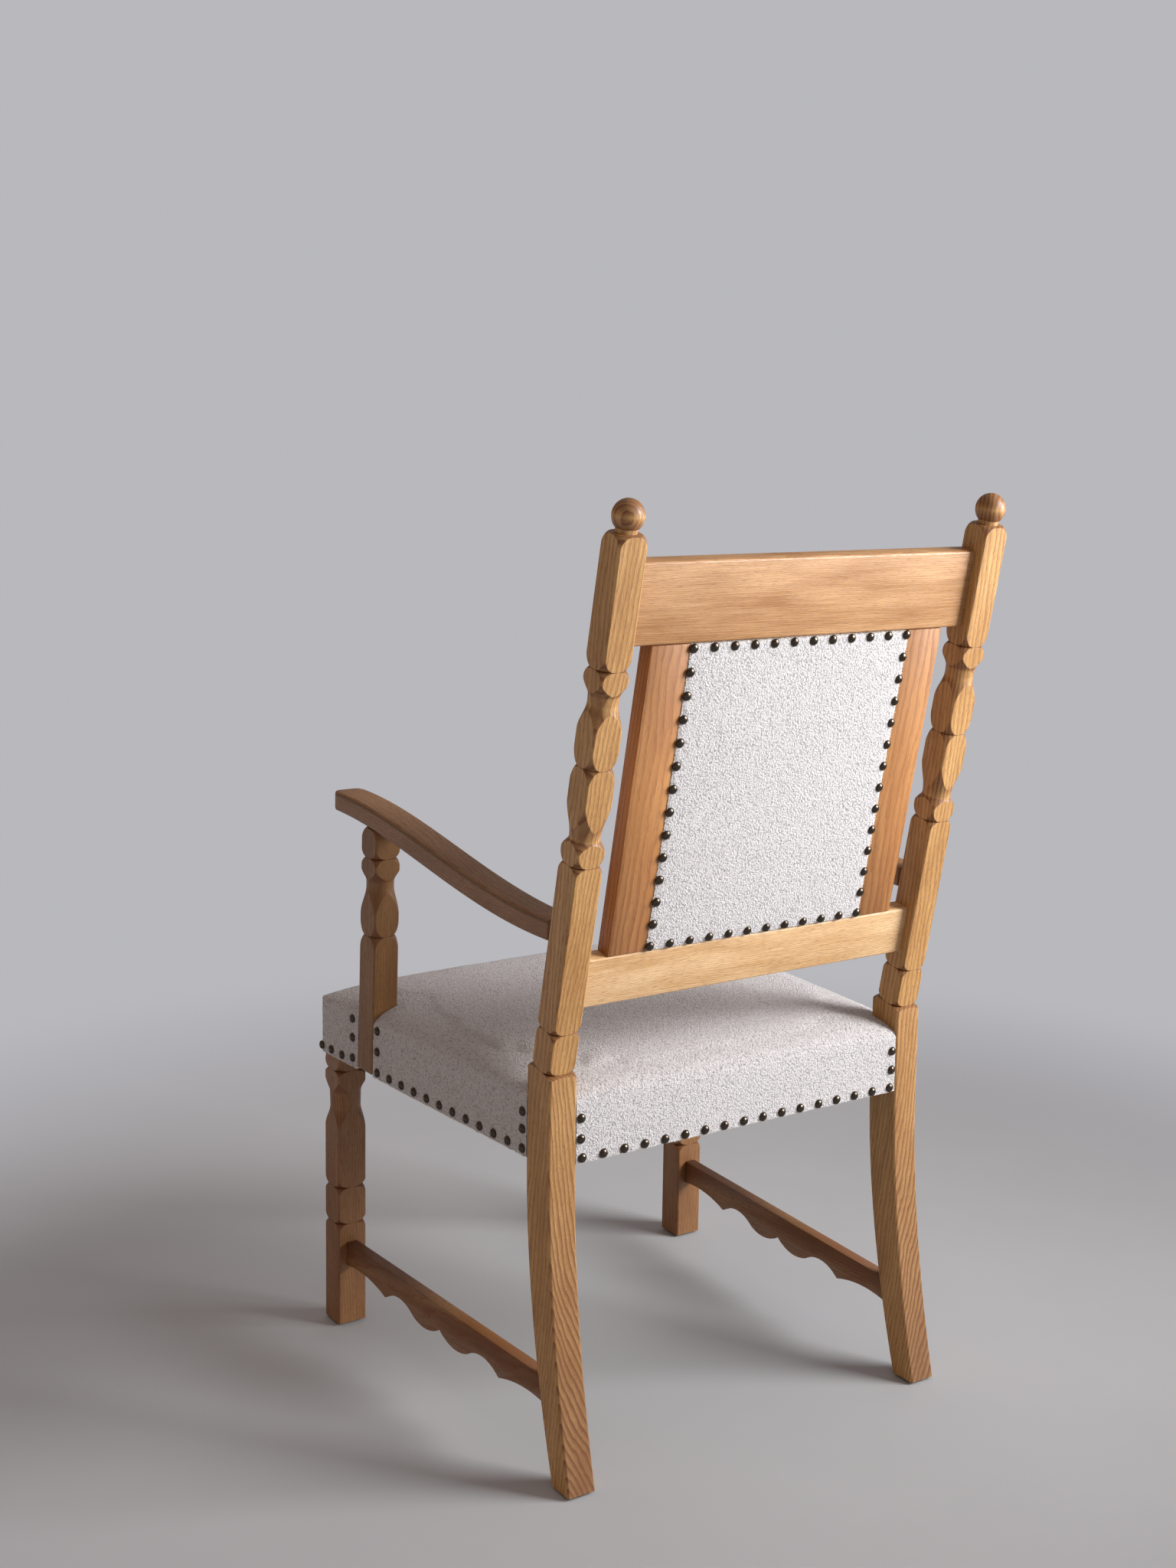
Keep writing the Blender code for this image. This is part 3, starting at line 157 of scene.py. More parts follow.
# Rear posts: each one length of oak, turned from the square into grooved blocks, a double vase and a ball,
# with a sabre leg sawn below the seat. Oiled oak is satin, and shows open pores as short brown dashes along
# the grain. The swept back of the leg cuts across the year rings, which cross it as wavy bands.
def oak(name, grain, heart, ring, light, dark, seed, pores=0.5, rings=0.3, fibres=1, length=9, grime=False):
    """Oiled oak. Grain turns the board's length onto Z, and heart is the tree's middle from there in mm."""
    finish, tree, where = material(name)
    turned = add(tree, "Mapping", {"Vector": where, "Rotation": grain, "Scale": (1000, 1000, 1000)})
    board = add(tree, "Mapping", {"Vector": turned, "Location": (*heart, seed)})

    def grained(across, along, detail, rough=0.5):
        at = add(tree, "Mapping", {"Vector": board, "Scale": (1 / across, 1 / across, 1 / along)})
        at = {"Vector": at, "Scale": 1.0, "Detail": detail, "Roughness": rough}
        return add(tree, "TexNoise", at)

    # Year rings, ring millimetres apart, that wander a little along the tree
    flat = add(tree, "VectorMath", {0: board, 1: (1, 1, 0)}, operation="MULTIPLY")
    radius = add(tree, "VectorMath", {0: flat}, "Value", operation="LENGTH")
    for wander, size in ((grained(45, 170, 3.0), 16.0), (grained(8, 30, 2.0), 1.8)):
        radius = add(tree, "Math", {0: wander, 1: size, 2: radius}, operation="MULTIPLY_ADD")
    year = add(tree, "Math", {0: radius, 1: ring}, operation="DIVIDE")
    year = add(tree, "Math", {0: year}, operation="FRACT")
    early = {"Value": year, "From Min": 0.0, "From Max": 0.7, "To Min": 1.0, "To Max": 0.0}
    early = add(tree, "MapRange", early, interpolation_type="SMOOTHSTEP")

    # Pores 0.3 mm wide, densest in the early wood, drawn 0.6 mm wide so that they show
    least = add(tree, "MapRange", {"Value": early, "To Min": 0.585, "To Max": 0.475})
    depth = add(tree, "Math", {0: grained(0.62, length, 1.0), 1: least}, operation="SUBTRACT")
    pore = add(tree, "MapRange", {"Value": depth, "From Min": 0.0, "From Max": 0.10})

    # Fibres in bundles 1 to 2 mm wide, and slow changes of tone along the board
    fibre = grained(1.5, 60, 3.0, 0.65)
    cloud = grained(24, 130, 2.0)
    shade = add(tree, "Math", {0: fibre, 1: cloud}, operation="ADD")
    spread = 0.42 / fibres
    shade = add(tree, "MapRange", {"Value": shade, "From Min": 1.0 - spread, "From Max": 1.0 + spread})
    tone = add(tree, "Mix", {"Factor": shade, 6: light, 7: dark}, 2, data_type="RGBA")

    # A surface that cuts across the grain soaks up more oil, and its rings show more; the darkening also
    # paints shade on the swept lower legs
    out = add(tree, "TexCoord", {}, "Normal")
    out = add(tree, "Mapping", {"Vector": out, "Rotation": grain}, vector_type="NORMAL")
    slope = add(tree, "SeparateXYZ", {0: out}, "Z")
    slope = add(tree, "Math", {0: slope}, operation="ABSOLUTE")
    slope = {"Value": slope, "From Min": 0.03, "From Max": 0.38, "To Min": 0.0, "To Max": 0.62}
    slope = add(tree, "MapRange", slope)
    ringed = add(tree, "Math", {0: slope, 1: 1.6, 2: rings}, operation="MULTIPLY_ADD")
    ringed = add(tree, "Math", {0: early, 1: ringed}, operation="MULTIPLY", use_clamp=True)
    tone = add(tree, "Mix", {"Factor": ringed, 6: tone, 7: "#865129"}, 2, data_type="RGBA")
    stain = add(tree, "Math", {0: pore, 1: pores}, operation="MULTIPLY")
    tone = add(tree, "Mix", {"Factor": stain, 6: tone, 7: "#744a27"}, 2, data_type="RGBA")
    # Partly painted shade: faces across the grain, such as the lower sabre legs, are darkened more than the
    # oil alone would.
    tone = add(tree, "Mix", {"Factor": slope, 6: tone, 7: "#6f4528"}, 2, data_type="RGBA")

    if grime:  # painted shade: a dark line along an arris, where the piece's attribute says
        line = add(tree, "Attribute", {}, "Fac", attribute_name="grime")
        line = add(tree, "Math", {0: line, 1: 0.75}, operation="MULTIPLY")
        tone = add(tree, "Mix", {"Factor": line, 6: tone, 7: "#2c2119"}, 2, data_type="RGBA")

    # Satin, with rough pores a tenth of a millimetre deep
    satin = add(tree, "MapRange", {"Value": pore, "To Min": 0.42, "To Max": 0.62})
    relief = add(tree, "Math", {0: pore, 1: -1.0, 2: fibre}, operation="MULTIPLY_ADD")
    bump = add(tree, "Bump", {"Height": relief, "Strength": 0.5, "Distance": 0.00010})
    wood = add(tree, "BsdfPrincipled", {"Base Color": tone, "Roughness": satin, "Normal": bump, "IOR": 1.5})
    add(tree, "OutputMaterial", {"Surface": wood})
    return finish


def finished(piece, node, finish):
    """A finished piece: its material, and the CAD node it stands for, which is hidden."""
    piece.data.materials.clear()
    piece.data.materials.append(finish)
    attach(piece, "root")
    if node:
        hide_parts(node)
    return piece


def edit(piece, select="SELECT"):
    """Opens one piece in edit mode, with all of it selected or none."""
    if bpy.context.object and bpy.context.object.mode == "EDIT":
        bpy.ops.object.mode_set(mode="OBJECT")
    bpy.ops.object.select_all(action="DESELECT")
    piece.select_set(True)
    bpy.context.view_layer.objects.active = piece
    bpy.ops.object.mode_set(mode="EDIT")
    bpy.ops.mesh.select_all(action=select)


def closed():
    """Leaves edit mode with the outside facing out."""
    bpy.ops.mesh.select_all(action="SELECT")
    bpy.ops.mesh.normals_make_consistent(inside=False)
    bpy.ops.object.mode_set(mode="OBJECT")
    return bpy.context.object


def smooth(angle):
    """Shades the active piece smooth up to an angle in degrees."""
    bpy.ops.object.shade_smooth_by_angle(angle=math.radians(angle))


def oak_pair(left, node, short, seeds, *looks, **more):
    """Copies a piece to the sitter's right, and gives each of the two a length of oak of its own."""
    twin = linked(f"{node}_oak_right", left.data.copy())
    twin.data.transform(Matrix.Diagonal((-1, 1, 1, 1)))
    edit(twin)
    closed()
    for piece, side, seed in ((left, "left", seeds[0]), (twin, "right", seeds[1])):
        finished(piece, f"{node}_{side}", oak(f"oiled_oak_{short}_{side}", *looks, seed, **more))


def lathe(name, top, runs):
    """Spins a profile about Z. Each run gives its shape, and the height and radius it ends at."""
    points = [(0.0, top)]
    radius, height = 0.0, top
    for shape, low, wide in runs:
        count = max(1, round((height - low) / (LATHE_STEP if shape != "line" else 0.010)))
        for step in range(1, count + 1):
            share = step / count
            swell = lambda part: max(0.0, 1 - part**1.7) ** (1 / 1.7)
            quarter = share * math.pi / 2
            along, out = {
                "line": lambda: (share, share),
                "ease": lambda: (share, (1 - math.cos(math.pi * share)) / 2),
                "round": lambda: (1 - math.cos(quarter), math.sin(quarter)),
                "rise": lambda: (1 - math.cos(quarter), swell(math.cos(quarter))),
                "fall": lambda: (math.sin(quarter), 1 - swell(math.sin(quarter))),
            }[shape]()
            points.append((radius + (wide - radius) * out, height + (low - height) * along))
        radius, height = wide, low
    points.append((0.0, height))
    mesh = bpy.data.meshes.new(name)
    edges = [(at, at + 1) for at in range(len(points) - 1)]
    mesh.from_pydata([(out, 0, high) for out, high in points], edges, [])
    edit(linked(name, mesh))
    bpy.ops.mesh.spin(steps=96, angle=math.tau, center=(0, 0, 0), axis=(0, 0, 1))
    bpy.ops.mesh.select_all(action="SELECT")
    bpy.ops.mesh.remove_doubles(threshold=SAME_POINT)
    return closed()


def squared(point, half, front, back):
    """Cuts a point of a turning back to the faces of its bar. A column of points keeps to each arris."""
    radius = math.hypot(point.x, point.y)
    if radius < 1e-7:
        return 0.0, 0.0
    deep = back if point.y > 0 else front
    corner = math.atan2(deep, half)
    radius = min(radius, math.hypot(half, deep) - CORNER_EASED)
    column = math.atan2(abs(point.y), abs(point.x)) / math.radians(45)
    face, span = (half, corner) if column <= 1 else (deep, math.pi / 2 - corner)
    arris = min(max(math.acos(min(1.0, face / radius)), 0.05), span - 0.03)
    soft = min(0.022, (span - arris) / 2)
    steps = ((0, 0), (5 / 12, arris - soft), (6 / 12, arris), (7 / 12, arris + soft), (1, span))
    share = column if column <= 1 else 2 - column
    for (from_share, from_angle), (to_share, to_angle) in zip(steps, steps[1:]):
        if share <= to_share + 1e-6:
            break
    angle = from_angle + (to_angle - from_angle) * (share - from_share) / (to_share - from_share)
    out = min(radius, face / math.cos(angle))
    along, beside = (math.cos(angle) * out, math.sin(angle) * out)
    x, y = (along, beside) if column <= 1 else (beside, along)
    return math.copysign(x, point.x), math.copysign(y, point.y)


LATHE_STEP, CORNER_EASED, SAME_POINT = 0.0008, 0.0012, 0.000008
POST_X, POST_HALF, POST_Y, POST_FROM, RAKE = 0.2558, 0.018, 0.1800, 0.500, math.radians(11.72)
SABRE_TOP, KNEE = 0.360, 0.4769
UPRIGHT_FROM, UPRIGHT_BELOW = 0.467, 0.392  # the post's rake gives way to the leg between these heights
FULL = 0.0243
post_axis_y = lambda height: POST_Y + (height - POST_FROM) * math.tan(RAKE)
sweep = lambda height: max(0.0, 1 - height / SABRE_TOP) ** 1.85
leg_back_y = lambda height: 0.1968 + 0.050 * sweep(height)
leg_front_y = lambda height: leg_back_y(height) - 0.0475 + 0.012 * sweep(height)
post_left = lathe(
    "rear_post_oak_left",
    1.1155,
    [("round", 1.0979, 0.0176), ("fall", 1.0850, 0.0120), ("line", 1.0805, 0.0120), ("line", 1.0796, 0.0172)]
    + [("rise", 1.0660, FULL), ("line", 0.9520, FULL), ("fall", 0.9369, 0.0174), ("rise", 0.9256, 0.0245)]
    + [("ease", 0.9070, 0.0172), ("line", 0.9000, 0.0168), ("ease", 0.8670, FULL), ("line", 0.8500, FULL)]
    + [("fall", 0.8294, 0.0175), ("rise", 0.8080, 0.0247), ("line", 0.7950, 0.0247), ("ease", 0.7495, 0.0170)]
    + [("ease", 0.7360, 0.0241), ("line", 0.7335, 0.0241), ("fall", 0.7197, 0.0175), ("rise", 0.7100, FULL)]
    + [("line", 0.5345, FULL), ("fall", 0.5252, 0.0174), ("rise", 0.5160, FULL), ("line", 0.4860, FULL)]
    + [("fall", KNEE, 0.0173), ("rise", 0.4680, 0.0325), ("line", 0.4675, 0.4), ("line", 0.0033, 0.4)],
)
for vert in post_left.data.vertices:
    height = vert.co.z
    upright = min(1.0, max(0.0, (UPRIGHT_FROM - height) / (UPRIGHT_FROM - UPRIGHT_BELOW)))
    tilt = RAKE * (1 - upright)
    middle = (leg_back_y(height) + leg_front_y(height)) / 2
    axis_y = post_axis_y(max(height, UPRIGHT_BELOW)) * (1 - upright) + middle * upright
    front = back = POST_HALF
    if height < KNEE - 0.0001:
        front, back = axis_y - leg_front_y(height), leg_back_y(height) - axis_y
        front, back = front / math.cos(tilt), back / math.cos(tilt)
    x, y = squared(vert.co, POST_HALF, front, back)
    vert.co = POST_X + x, axis_y + y * math.cos(tilt), height - y * math.sin(tilt)
smooth(60)
looks = ((math.radians(8.0), 0, 0), (18.0, 95.0), 4.6, "#cfa468", "#a57842")
oak_pair(post_left, "rear_post", "post", (0.0, 410.0), *looks, pores=0.45, rings=0.4, fibres=1.3)


# Front legs: shorter bars of the same oak, turned with one vase and two grooves, and left square at the foot.
# The seat rails are tenoned into their tops, inside the cloth.
LEG_X, LEG_Y, LEG_HALF, BROAD = 0.2758, -0.2972, 0.020, 0.0273
CLOTH_FROM, CUT_X, CUT_Y = 0.3665, 0.0185, -0.0198  # inside the cloth the corner is cut back to its outline
leg_left = lathe(
    "front_leg_oak_left",
    0.4300,
    [("line", 0.4299, BROAD), ("line", 0.3570, BROAD), ("fall", 0.3465, 0.0195), ("rise", 0.3370, 0.0284)]
    + [("ease", 0.3150, 0.0203), ("line", 0.2970, 0.0198), ("ease", 0.2650, BROAD), ("line", 0.1990, BROAD)]
    + [("fall", 0.1885, 0.0195), ("rise", 0.1790, BROAD), ("line", 0.1490, BROAD), ("fall", 0.1394, 0.0195)]
    + [("rise", 0.1300, BROAD), ("line", 0.0033, BROAD)],
)
for vert in leg_left.data.vertices:
    x, y = squared(vert.co, LEG_HALF, LEG_HALF, LEG_HALF)
    if vert.co.z > CLOTH_FROM:
        x, y = min(x, CUT_X), max(y, CUT_Y)
    vert.co = LEG_X + x, LEG_Y + y, vert.co.z
smooth(60)
# Painted shade: these tones are darker than the posts' because the legs stand low, where less light falls.
looks = ((math.radians(-3), 0, 0), (60.0, 70.0), 4.0, "#a1764a", "#744c2a")
oak_pair(leg_left, "front_leg", "leg", (60.0, 700.0), *looks, pores=0.7)


# Armrests: oak, sawn to an S from a thick board and tapered towards the post, with a rounded nose and
# softened arrises. A dark line of painted shade runs along the outer top arris.
post_front_y = lambda height: post_axis_y(height) - POST_HALF / math.cos(RAKE)
FIT = 0.0003  # between wood faces that touch
ARM_NOSE, ARM_END = Vector((-0.2902, 0.7067)), Vector((post_front_y(0.639), 0.639))
ARM_HANDLES = (ARM_NOSE + Vector((0.158, -0.0025)), ARM_END + Vector((-0.1726, 0.001)))
SUPPORT_Y, SEAT_TAPER, POST_FRONT = -0.2047, 0.05935, 0.1493
SPLAY = math.atan(SEAT_TAPER)
POST_OUT = POST_X + POST_HALF
seat_side_x = lambda y: POST_OUT + (POST_FRONT - y) * SEAT_TAPER
support_outer_x = seat_side_x(SUPPORT_Y) + 0.0005
arm_outer_x = lambda y: POST_OUT + (support_outer_x - POST_OUT) * (ARM_END.x - y) / (ARM_END.x - SUPPORT_Y)


def arm_point(share):
    """Y and Z of the armrest's centre line, from the nose to the post."""
    rest, (first, second) = 1 - share, ARM_HANDLES
    curve = ARM_NOSE * rest**3 + first * (3 * rest**2 * share)
    return curve + second * (3 * rest * share**2) + ARM_END * share**3


def arm_thickness(share):
    return 0.0238 + 0.003 * math.sin(math.pi * min(1.0, max(0.0, share)))


def chosen(piece, kind, test):
    """Opens one piece in edit mode, with only those of its edges or faces selected that pass a test."""
    edit(piece, "DESELECT")
    for part in getattr(bmesh.from_edit_mesh(piece.data), kind):
        part.select = test(part)
    bmesh.update_edit_mesh(piece.data)


def eased(piece, width, segments):
    """Eases the arrises of a piece and shades it."""
    edit(piece)
    bpy.ops.object.mode_set(mode="OBJECT")
    bevel = piece.modifiers.new("eased", "BEVEL")
    bevel.width, bevel.segments, bevel.limit_method = width, segments, "ANGLE"
    bevel.angle_limit = math.radians(30)
    bpy.ops.object.modifier_apply(modifier=bevel.name)
    smooth(40)


ARM_LENGTH, ARM_STATIONS = 0.488, 72
BLANK_WIDTH, BLANK_DEPTH = 0.040, 0.024  # of the straight board that is bent to the arm
ARM_WIDTH, ARM_TAPER, ARM_CROWN, NOSE_ROUND, TIP_ROUND = 0.042, 0.006, 0.0008, 0.0138, 0.005
ARRIS_SHADE_X, ARRIS_SHADE_DOWN, ARRIS_SHADE_HALF = 0.0185, 0.0030, 0.0015  # the line's place on the board, and half its width
bpy.ops.mesh.primitive_cube_add(size=1)
arm_left = bpy.context.object
arm_left.name = "armrest_oak_left"
blank = Matrix.Diagonal((BLANK_WIDTH, ARM_LENGTH, BLANK_DEPTH, 1))
arm_left.data.transform(Matrix.Translation((0, ARM_LENGTH / 2, 0)) @ blank)
chosen(arm_left, "edges", lambda edge: abs(edge.verts[0].co.y - edge.verts[1].co.y) > 0.1)
bpy.ops.mesh.subdivide(number_cuts=ARM_STATIONS)
bpy.ops.object.mode_set(mode="OBJECT")
eased(arm_left, 0.0032, 4)
edit(arm_left)
bpy.ops.mesh.bisect(plane_co=(0, 0, 0.0070), plane_no=(0, 0, 1))
bpy.ops.object.mode_set(mode="OBJECT")
# Painted shade: this attribute marks a dark line just under the outer top arris.
grime = arm_left.data.attributes.new("grime", "FLOAT", "POINT")
for vert, darkness in zip(arm_left.data.vertices, grime.data):
    below = BLANK_DEPTH / 2 - vert.co.z
    darkness.value = max(0.0, 1 - abs(below - ARRIS_SHADE_DOWN) / ARRIS_SHADE_HALF) if vert.co.x > ARRIS_SHADE_X else 0.0
for vert in arm_left.data.vertices:
    share = vert.co.y / ARM_LENGTH
    y, z = arm_point(share)
    along = (arm_point(share + 0.001) - arm_point(share - 0.001)).normalized()
    from_nose = 1 - min(1.0, vert.co.y / NOSE_ROUND)
    fullness = max(0.12, math.sqrt(max(0.0, 1 - from_nose**2)))
    from_tip = 1 - min(1.0, vert.co.y / TIP_ROUND)
    width = ARM_WIDTH - ARM_TAPER * share
    crown = ARM_CROWN * (1 - (2 * vert.co.x / BLANK_WIDTH) ** 2) if vert.co.z > 0 else 0.0
    thickness = arm_thickness(share) - 2 * TIP_ROUND * (1 - math.sqrt(1 - 0.9 * from_tip**2))
    deep = thickness / BLANK_DEPTH * vert.co.z + crown
    across = vert.co.x / BLANK_WIDTH * width * fullness
    x = arm_outer_x(y) - width / 2 + across
    vert.co = x, y - deep * along.y, z + deep * along.x
    if y > 0.15:
        vert.co.y = min(vert.co.y, post_front_y(vert.co.z) - FIT)
looks = ((math.radians(98), 0, 0), (14.0, 120.0), 3.6, "#9f7a55", "#785434")
oak_pair(arm_left, "armrest", "arm", (130.0, 260.0), *looks, grime=True)


# Arm supports: small turned oak bars that stand outside the seat, lean a little, and splay with its sides.
# Each is tenoned up into its armrest, and its foot is a tongue that laps the seat rail.
SUPPORT_FROM, LEAN, TONGUE_TOP, TONGUE_IN = 0.400, math.radians(1.89), 0.4303, 0.002
stand = Matrix.Translation((support_outer_x - POST_HALF / math.cos(SPLAY), SUPPORT_Y, SUPPORT_FROM))
stand = stand @ Matrix.Rotation(SPLAY, 4, "Z") @ Matrix.Rotation(-LEAN, 4, "X")
support_left = lathe(
    "arm_support_oak_left",
    0.7000,
    [("line", 0.6999, 0.018), ("line", 0.6845, 0.018), ("rise", 0.6710, FULL), ("line", 0.6585, FULL)]
    + [("fall", 0.6475, 0.0173), ("rise", 0.6350, 0.0248), ("ease", 0.6170, 0.0174), ("line", 0.6115, 0.0173)]
    + [("ease", 0.5730, FULL), ("line", 0.5670, FULL), ("fall", 0.5475, 0.0176), ("rise", 0.5300, FULL)]
    + [("line", 0.3710, FULL)],
)
for vert in support_left.data.vertices:
    x, y = squared(vert.co, POST_HALF, POST_HALF, POST_HALF)
    if vert.co.z < TONGUE_TOP:  # the tongue that passes outside the rail
        x = max(x, TONGUE_IN)
    spot = stand @ Vector((x, y, (vert.co.z - SUPPORT_FROM) / math.cos(LEAN)))
    share = (spot.y - ARM_NOSE.x) / (ARM_END.x - ARM_NOSE.x)
    for _ in range(12):
        share += (spot.y - arm_point(share).x) / (ARM_END.x - ARM_NOSE.x)
    slope = arm_point(share + 0.001) - arm_point(share - 0.001)
    under = arm_point(share).y - arm_thickness(share) / 2 * math.hypot(*slope) / slope.x - FIT
    vert.co = spot.x, spot.y, min(spot.z, under)
edit(support_left)
bpy.ops.mesh.remove_doubles(threshold=SAME_POINT)
closed()
smooth(60)
looks = ((0, 0, 0.4), (35.0, 60.0), 3.8, "#97703f", "#6c4826")
oak_pair(support_left, "arm_support", "support", (30.0, 820.0), *looks, pores=0.7)


# Side stretchers: thin oak boards, tenoned between the front and the rear leg on each side.
# The lower edge is sawn into coves and a double lobe.
def through(start, middle, end, steps=14):
    """Points along the circle through three points, after the start."""
    (ax, ay), (bx, by), (cx, cy) = start, middle, end
    turned = 2 * (ax * (by - cy) + bx * (cy - ay) + cx * (ay - by))
    a, b, c = ax * ax + ay * ay, bx * bx + by * by, cx * cx + cy * cy
    x = (a * (by - cy) + b * (cy - ay) + c * (ay - by)) / turned
    y = (a * (cx - bx) + b * (ax - cx) + c * (bx - ax)) / turned
    radius, first = math.hypot(ax - x, ay - y), math.atan2(ay - y, ax - x)
    swing = math.remainder(math.atan2(cy - y, cx - x) - first, math.tau)
    angles = [first + swing * step / steps for step in range(1, steps + 1)]
    return [(x + radius * math.cos(angle), y + radius * math.sin(angle)) for angle in angles]


def sawn(name, outline, thickness):
    """A board sawn to an outline in Y and Z, its thickness centred on X = 0."""
    mesh = bpy.data.meshes.new(name)
    mesh.from_pydata([(-thickness / 2, y, z) for y, z in outline], [], [range(len(outline))])
    edit(linked(name, mesh))
    bpy.ops.mesh.extrude_region_move(TRANSFORM_OT_translate={"value": (thickness, 0, 0)})
    return closed()


BOARD_TOP, BOARD_END = 0.1145, 0.0825
front_y, rear_y = LEG_Y + LEG_HALF, leg_front_y(BOARD_TOP)
half = (rear_y - front_y) / 2
lobes = [(0.0, 0.083)]
lobes += through(lobes[-1], (0.041, 0.0713), (0.062, 0.0762))
lobes += through(lobes[-1], (0.092, 0.0868), (0.131, 0.0748))
lobes += through(lobes[-1], (0.185, 0.0853), (half, BOARD_END))
lobes.append((half + 0.02, BOARD_END))
lower = [(-y, z) for y, z in reversed(lobes[1:])] + lobes
upper = [(lower[-1][0], BOARD_TOP), (lower[0][0], BOARD_TOP)]
board_left = sawn("side_stretcher_oak_left", lower + upper, 0.016)
eased(board_left, 0.0011, 2)
aside = math.atan2(LEG_X - POST_X, rear_y - front_y)
between = Matrix.Translation(((LEG_X + POST_X) / 2, (front_y + rear_y) / 2, 0))
board_left.data.transform(between @ Matrix.Rotation(aside, 4, "Z"))
for vert in board_left.data.vertices:
    vert.co.y = min(max(vert.co.y, front_y + FIT), leg_front_y(vert.co.z) - FIT)
looks = ((math.radians(90), 0, 0), (150.0, 12.0), 3.2, "#9c744a", "#734d2d")
oak_pair(board_left, "side_stretcher", "stretcher", (75.0, 505.0), *looks, pores=0.7)


# Back rails: the crest rail and the lower rail, planed oak boards tenoned between the posts.
# Their year rings lie nearly square to the face, so that fine wavy lines run from post to post.
back_plane = Matrix.Translation((0, POST_Y, POST_FROM)) @ Matrix.Rotation(-RAKE, 4, "X")
up_back = lambda height: (height - POST_FROM) / math.cos(RAKE)
BACK_REAR, BACK_FRONT = 0.0063, -0.0170
LOWER_RAIL_TOP, CREST_BOTTOM = 0.6053, 0.9597
RAIL_END = POST_X - POST_HALF - FIT
for node, low, high, tone, seed in (
    ("crest_rail", CREST_BOTTOM, 1.0497, ("#c89d70", "#9b6d3d"), 0.0),
    ("lower_back_rail", 0.5473, LOWER_RAIL_TOP, ("#e3c194", "#c69c69"), 300.0),
):
    bpy.ops.mesh.primitive_cube_add(size=1)
    rail = bpy.context.object
    rail.name = f"{node}_oak"
    size = Matrix.Diagonal((2 * RAIL_END, BACK_REAR - BACK_FRONT, up_back(high) - up_back(low), 1))
    middle = Matrix.Translation((0, (BACK_REAR + BACK_FRONT) / 2, up_back((low + high) / 2)))
    rail.data.transform(middle @ size)
    chosen(rail, "edges", lambda edge: abs(edge.verts[0].co.x - edge.verts[1].co.x) > 0.1)
    bpy.ops.mesh.bevel(offset=0.003, segments=4, affect="EDGES")
    closed()
    smooth(40)
    rail.data.transform(back_plane)
    looks = ((0, math.radians(-90), 0), (160.0, 20.0), 2.0, *tone, seed)
    finished(rail, node, oak(f"oiled_oak_{node}", *looks, pores=0.4, fibres=1.6, length=10.0))


# Back stiles: flat oak boards between the two rails, set in from the posts so that a slot stays open.
# A lip along the inner edge is set back for the cloth.
STILE_OUT, PANEL_X, LIP = 0.207, 0.1563, 0.015
STILE_FRONT, REBATE = BACK_REAR - 0.0213, BACK_REAR - 0.005
stile = [(STILE_OUT, STILE_FRONT), (STILE_OUT, BACK_REAR), (PANEL_X, BACK_REAR)]
stile += [(PANEL_X, REBATE), (PANEL_X - LIP, REBATE), (PANEL_X - LIP, STILE_FRONT)]
opening_low, opening_high = up_back(LOWER_RAIL_TOP), up_back(CREST_BOTTOM)
low, high = opening_low + FIT, opening_high - FIT
stile_left = sawn("back_stile_oak_left", stile, high - low)
on_end = Matrix(((0, 1, 0, 0), (0, 0, 1, 0), (1, 0, 0, (low + high) / 2), (0, 0, 0, 1)))
stile_left.data.transform(on_end)
edit(stile_left)
closed()
eased(stile_left, 0.0009, 2)
stile_left.data.transform(back_plane)
looks = ((RAKE, 0, 0), (10.0, 240.0), 5.0, "#bf8a54", "#976030")
oak_pair(stile_left, "back_stile", "stile", (90.0, 640.0), *looks, pores=0.4)


# Seat frame and inner back rails: plain planed beech, pale, dull and fine in grain.
# The rails are tenoned and the corner blocks glued in, all of it inside the cloth.
beech, tree, where = material("planed_beech")
grain = add(tree, "Mapping", {"Vector": where, "Scale": (60, 700, 700)})
fleck = add(tree, "TexNoise", {"Vector": grain, "Scale": 1.0, "Detail": 4.0})


def matt(tree, pattern, first, second, rough, strength, depth):
    """Ends a material whose pattern runs from one colour to another, and stands out by a depth in metres."""
    tone = add(tree, "Mix", {"Factor": pattern, 6: first, 7: second}, 2, data_type="RGBA")
    bump = add(tree, "Bump", {"Height": pattern, "Strength": strength, "Distance": depth})
    body = add(tree, "BsdfPrincipled", {"Base Color": tone, "Roughness": rough, "Normal": bump})
    add(tree, "OutputMaterial", {"Surface": body})


def dressed(finish, *names):
    """Gives a material to the CAD's own solids whose node names hold one of these."""
    for node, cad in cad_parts.items():
        if any(name in node for name in names):
            cad.data.materials.clear()
            cad.data.materials.append(finish)


matt(tree, fleck, "#cfae86", "#b98f63", 0.65, 0.3, 0.0002)
dressed(beech, "seat_rail", "corner_block", "back_frame")


# Webbing: straps of coarse matt jute in herringbone, its threads 2 mm apart.
# They are woven over and under each other, and tacked to the rails.
jute, tree, where = material("herringbone_jute")
weft = {"Vector": where, "Scale": 500.0, "Distortion": 1.0}
weft = add(tree, "TexWave", weft, 1, bands_direction="DIAGONAL")
matt(tree, weft, "#b49a6b", "#8c7348", 0.95, 0.6, 0.0004)
dressed(jute, "web")


# Foam: blocks of open-cell foam on the webs, yellowed with age, dull and rough.
# The cells are too fine to show, and are drawn 1.4 mm across.
foam, tree, where = material("open_cell_foam")
cells = add(tree, "TexVoronoi", {"Vector": where, "Scale": 700.0}, "Distance")
matt(tree, cells, "#d8c58c", "#efe2b6", 0.95, 0.5, 0.0006)
dressed(foam, "foam")
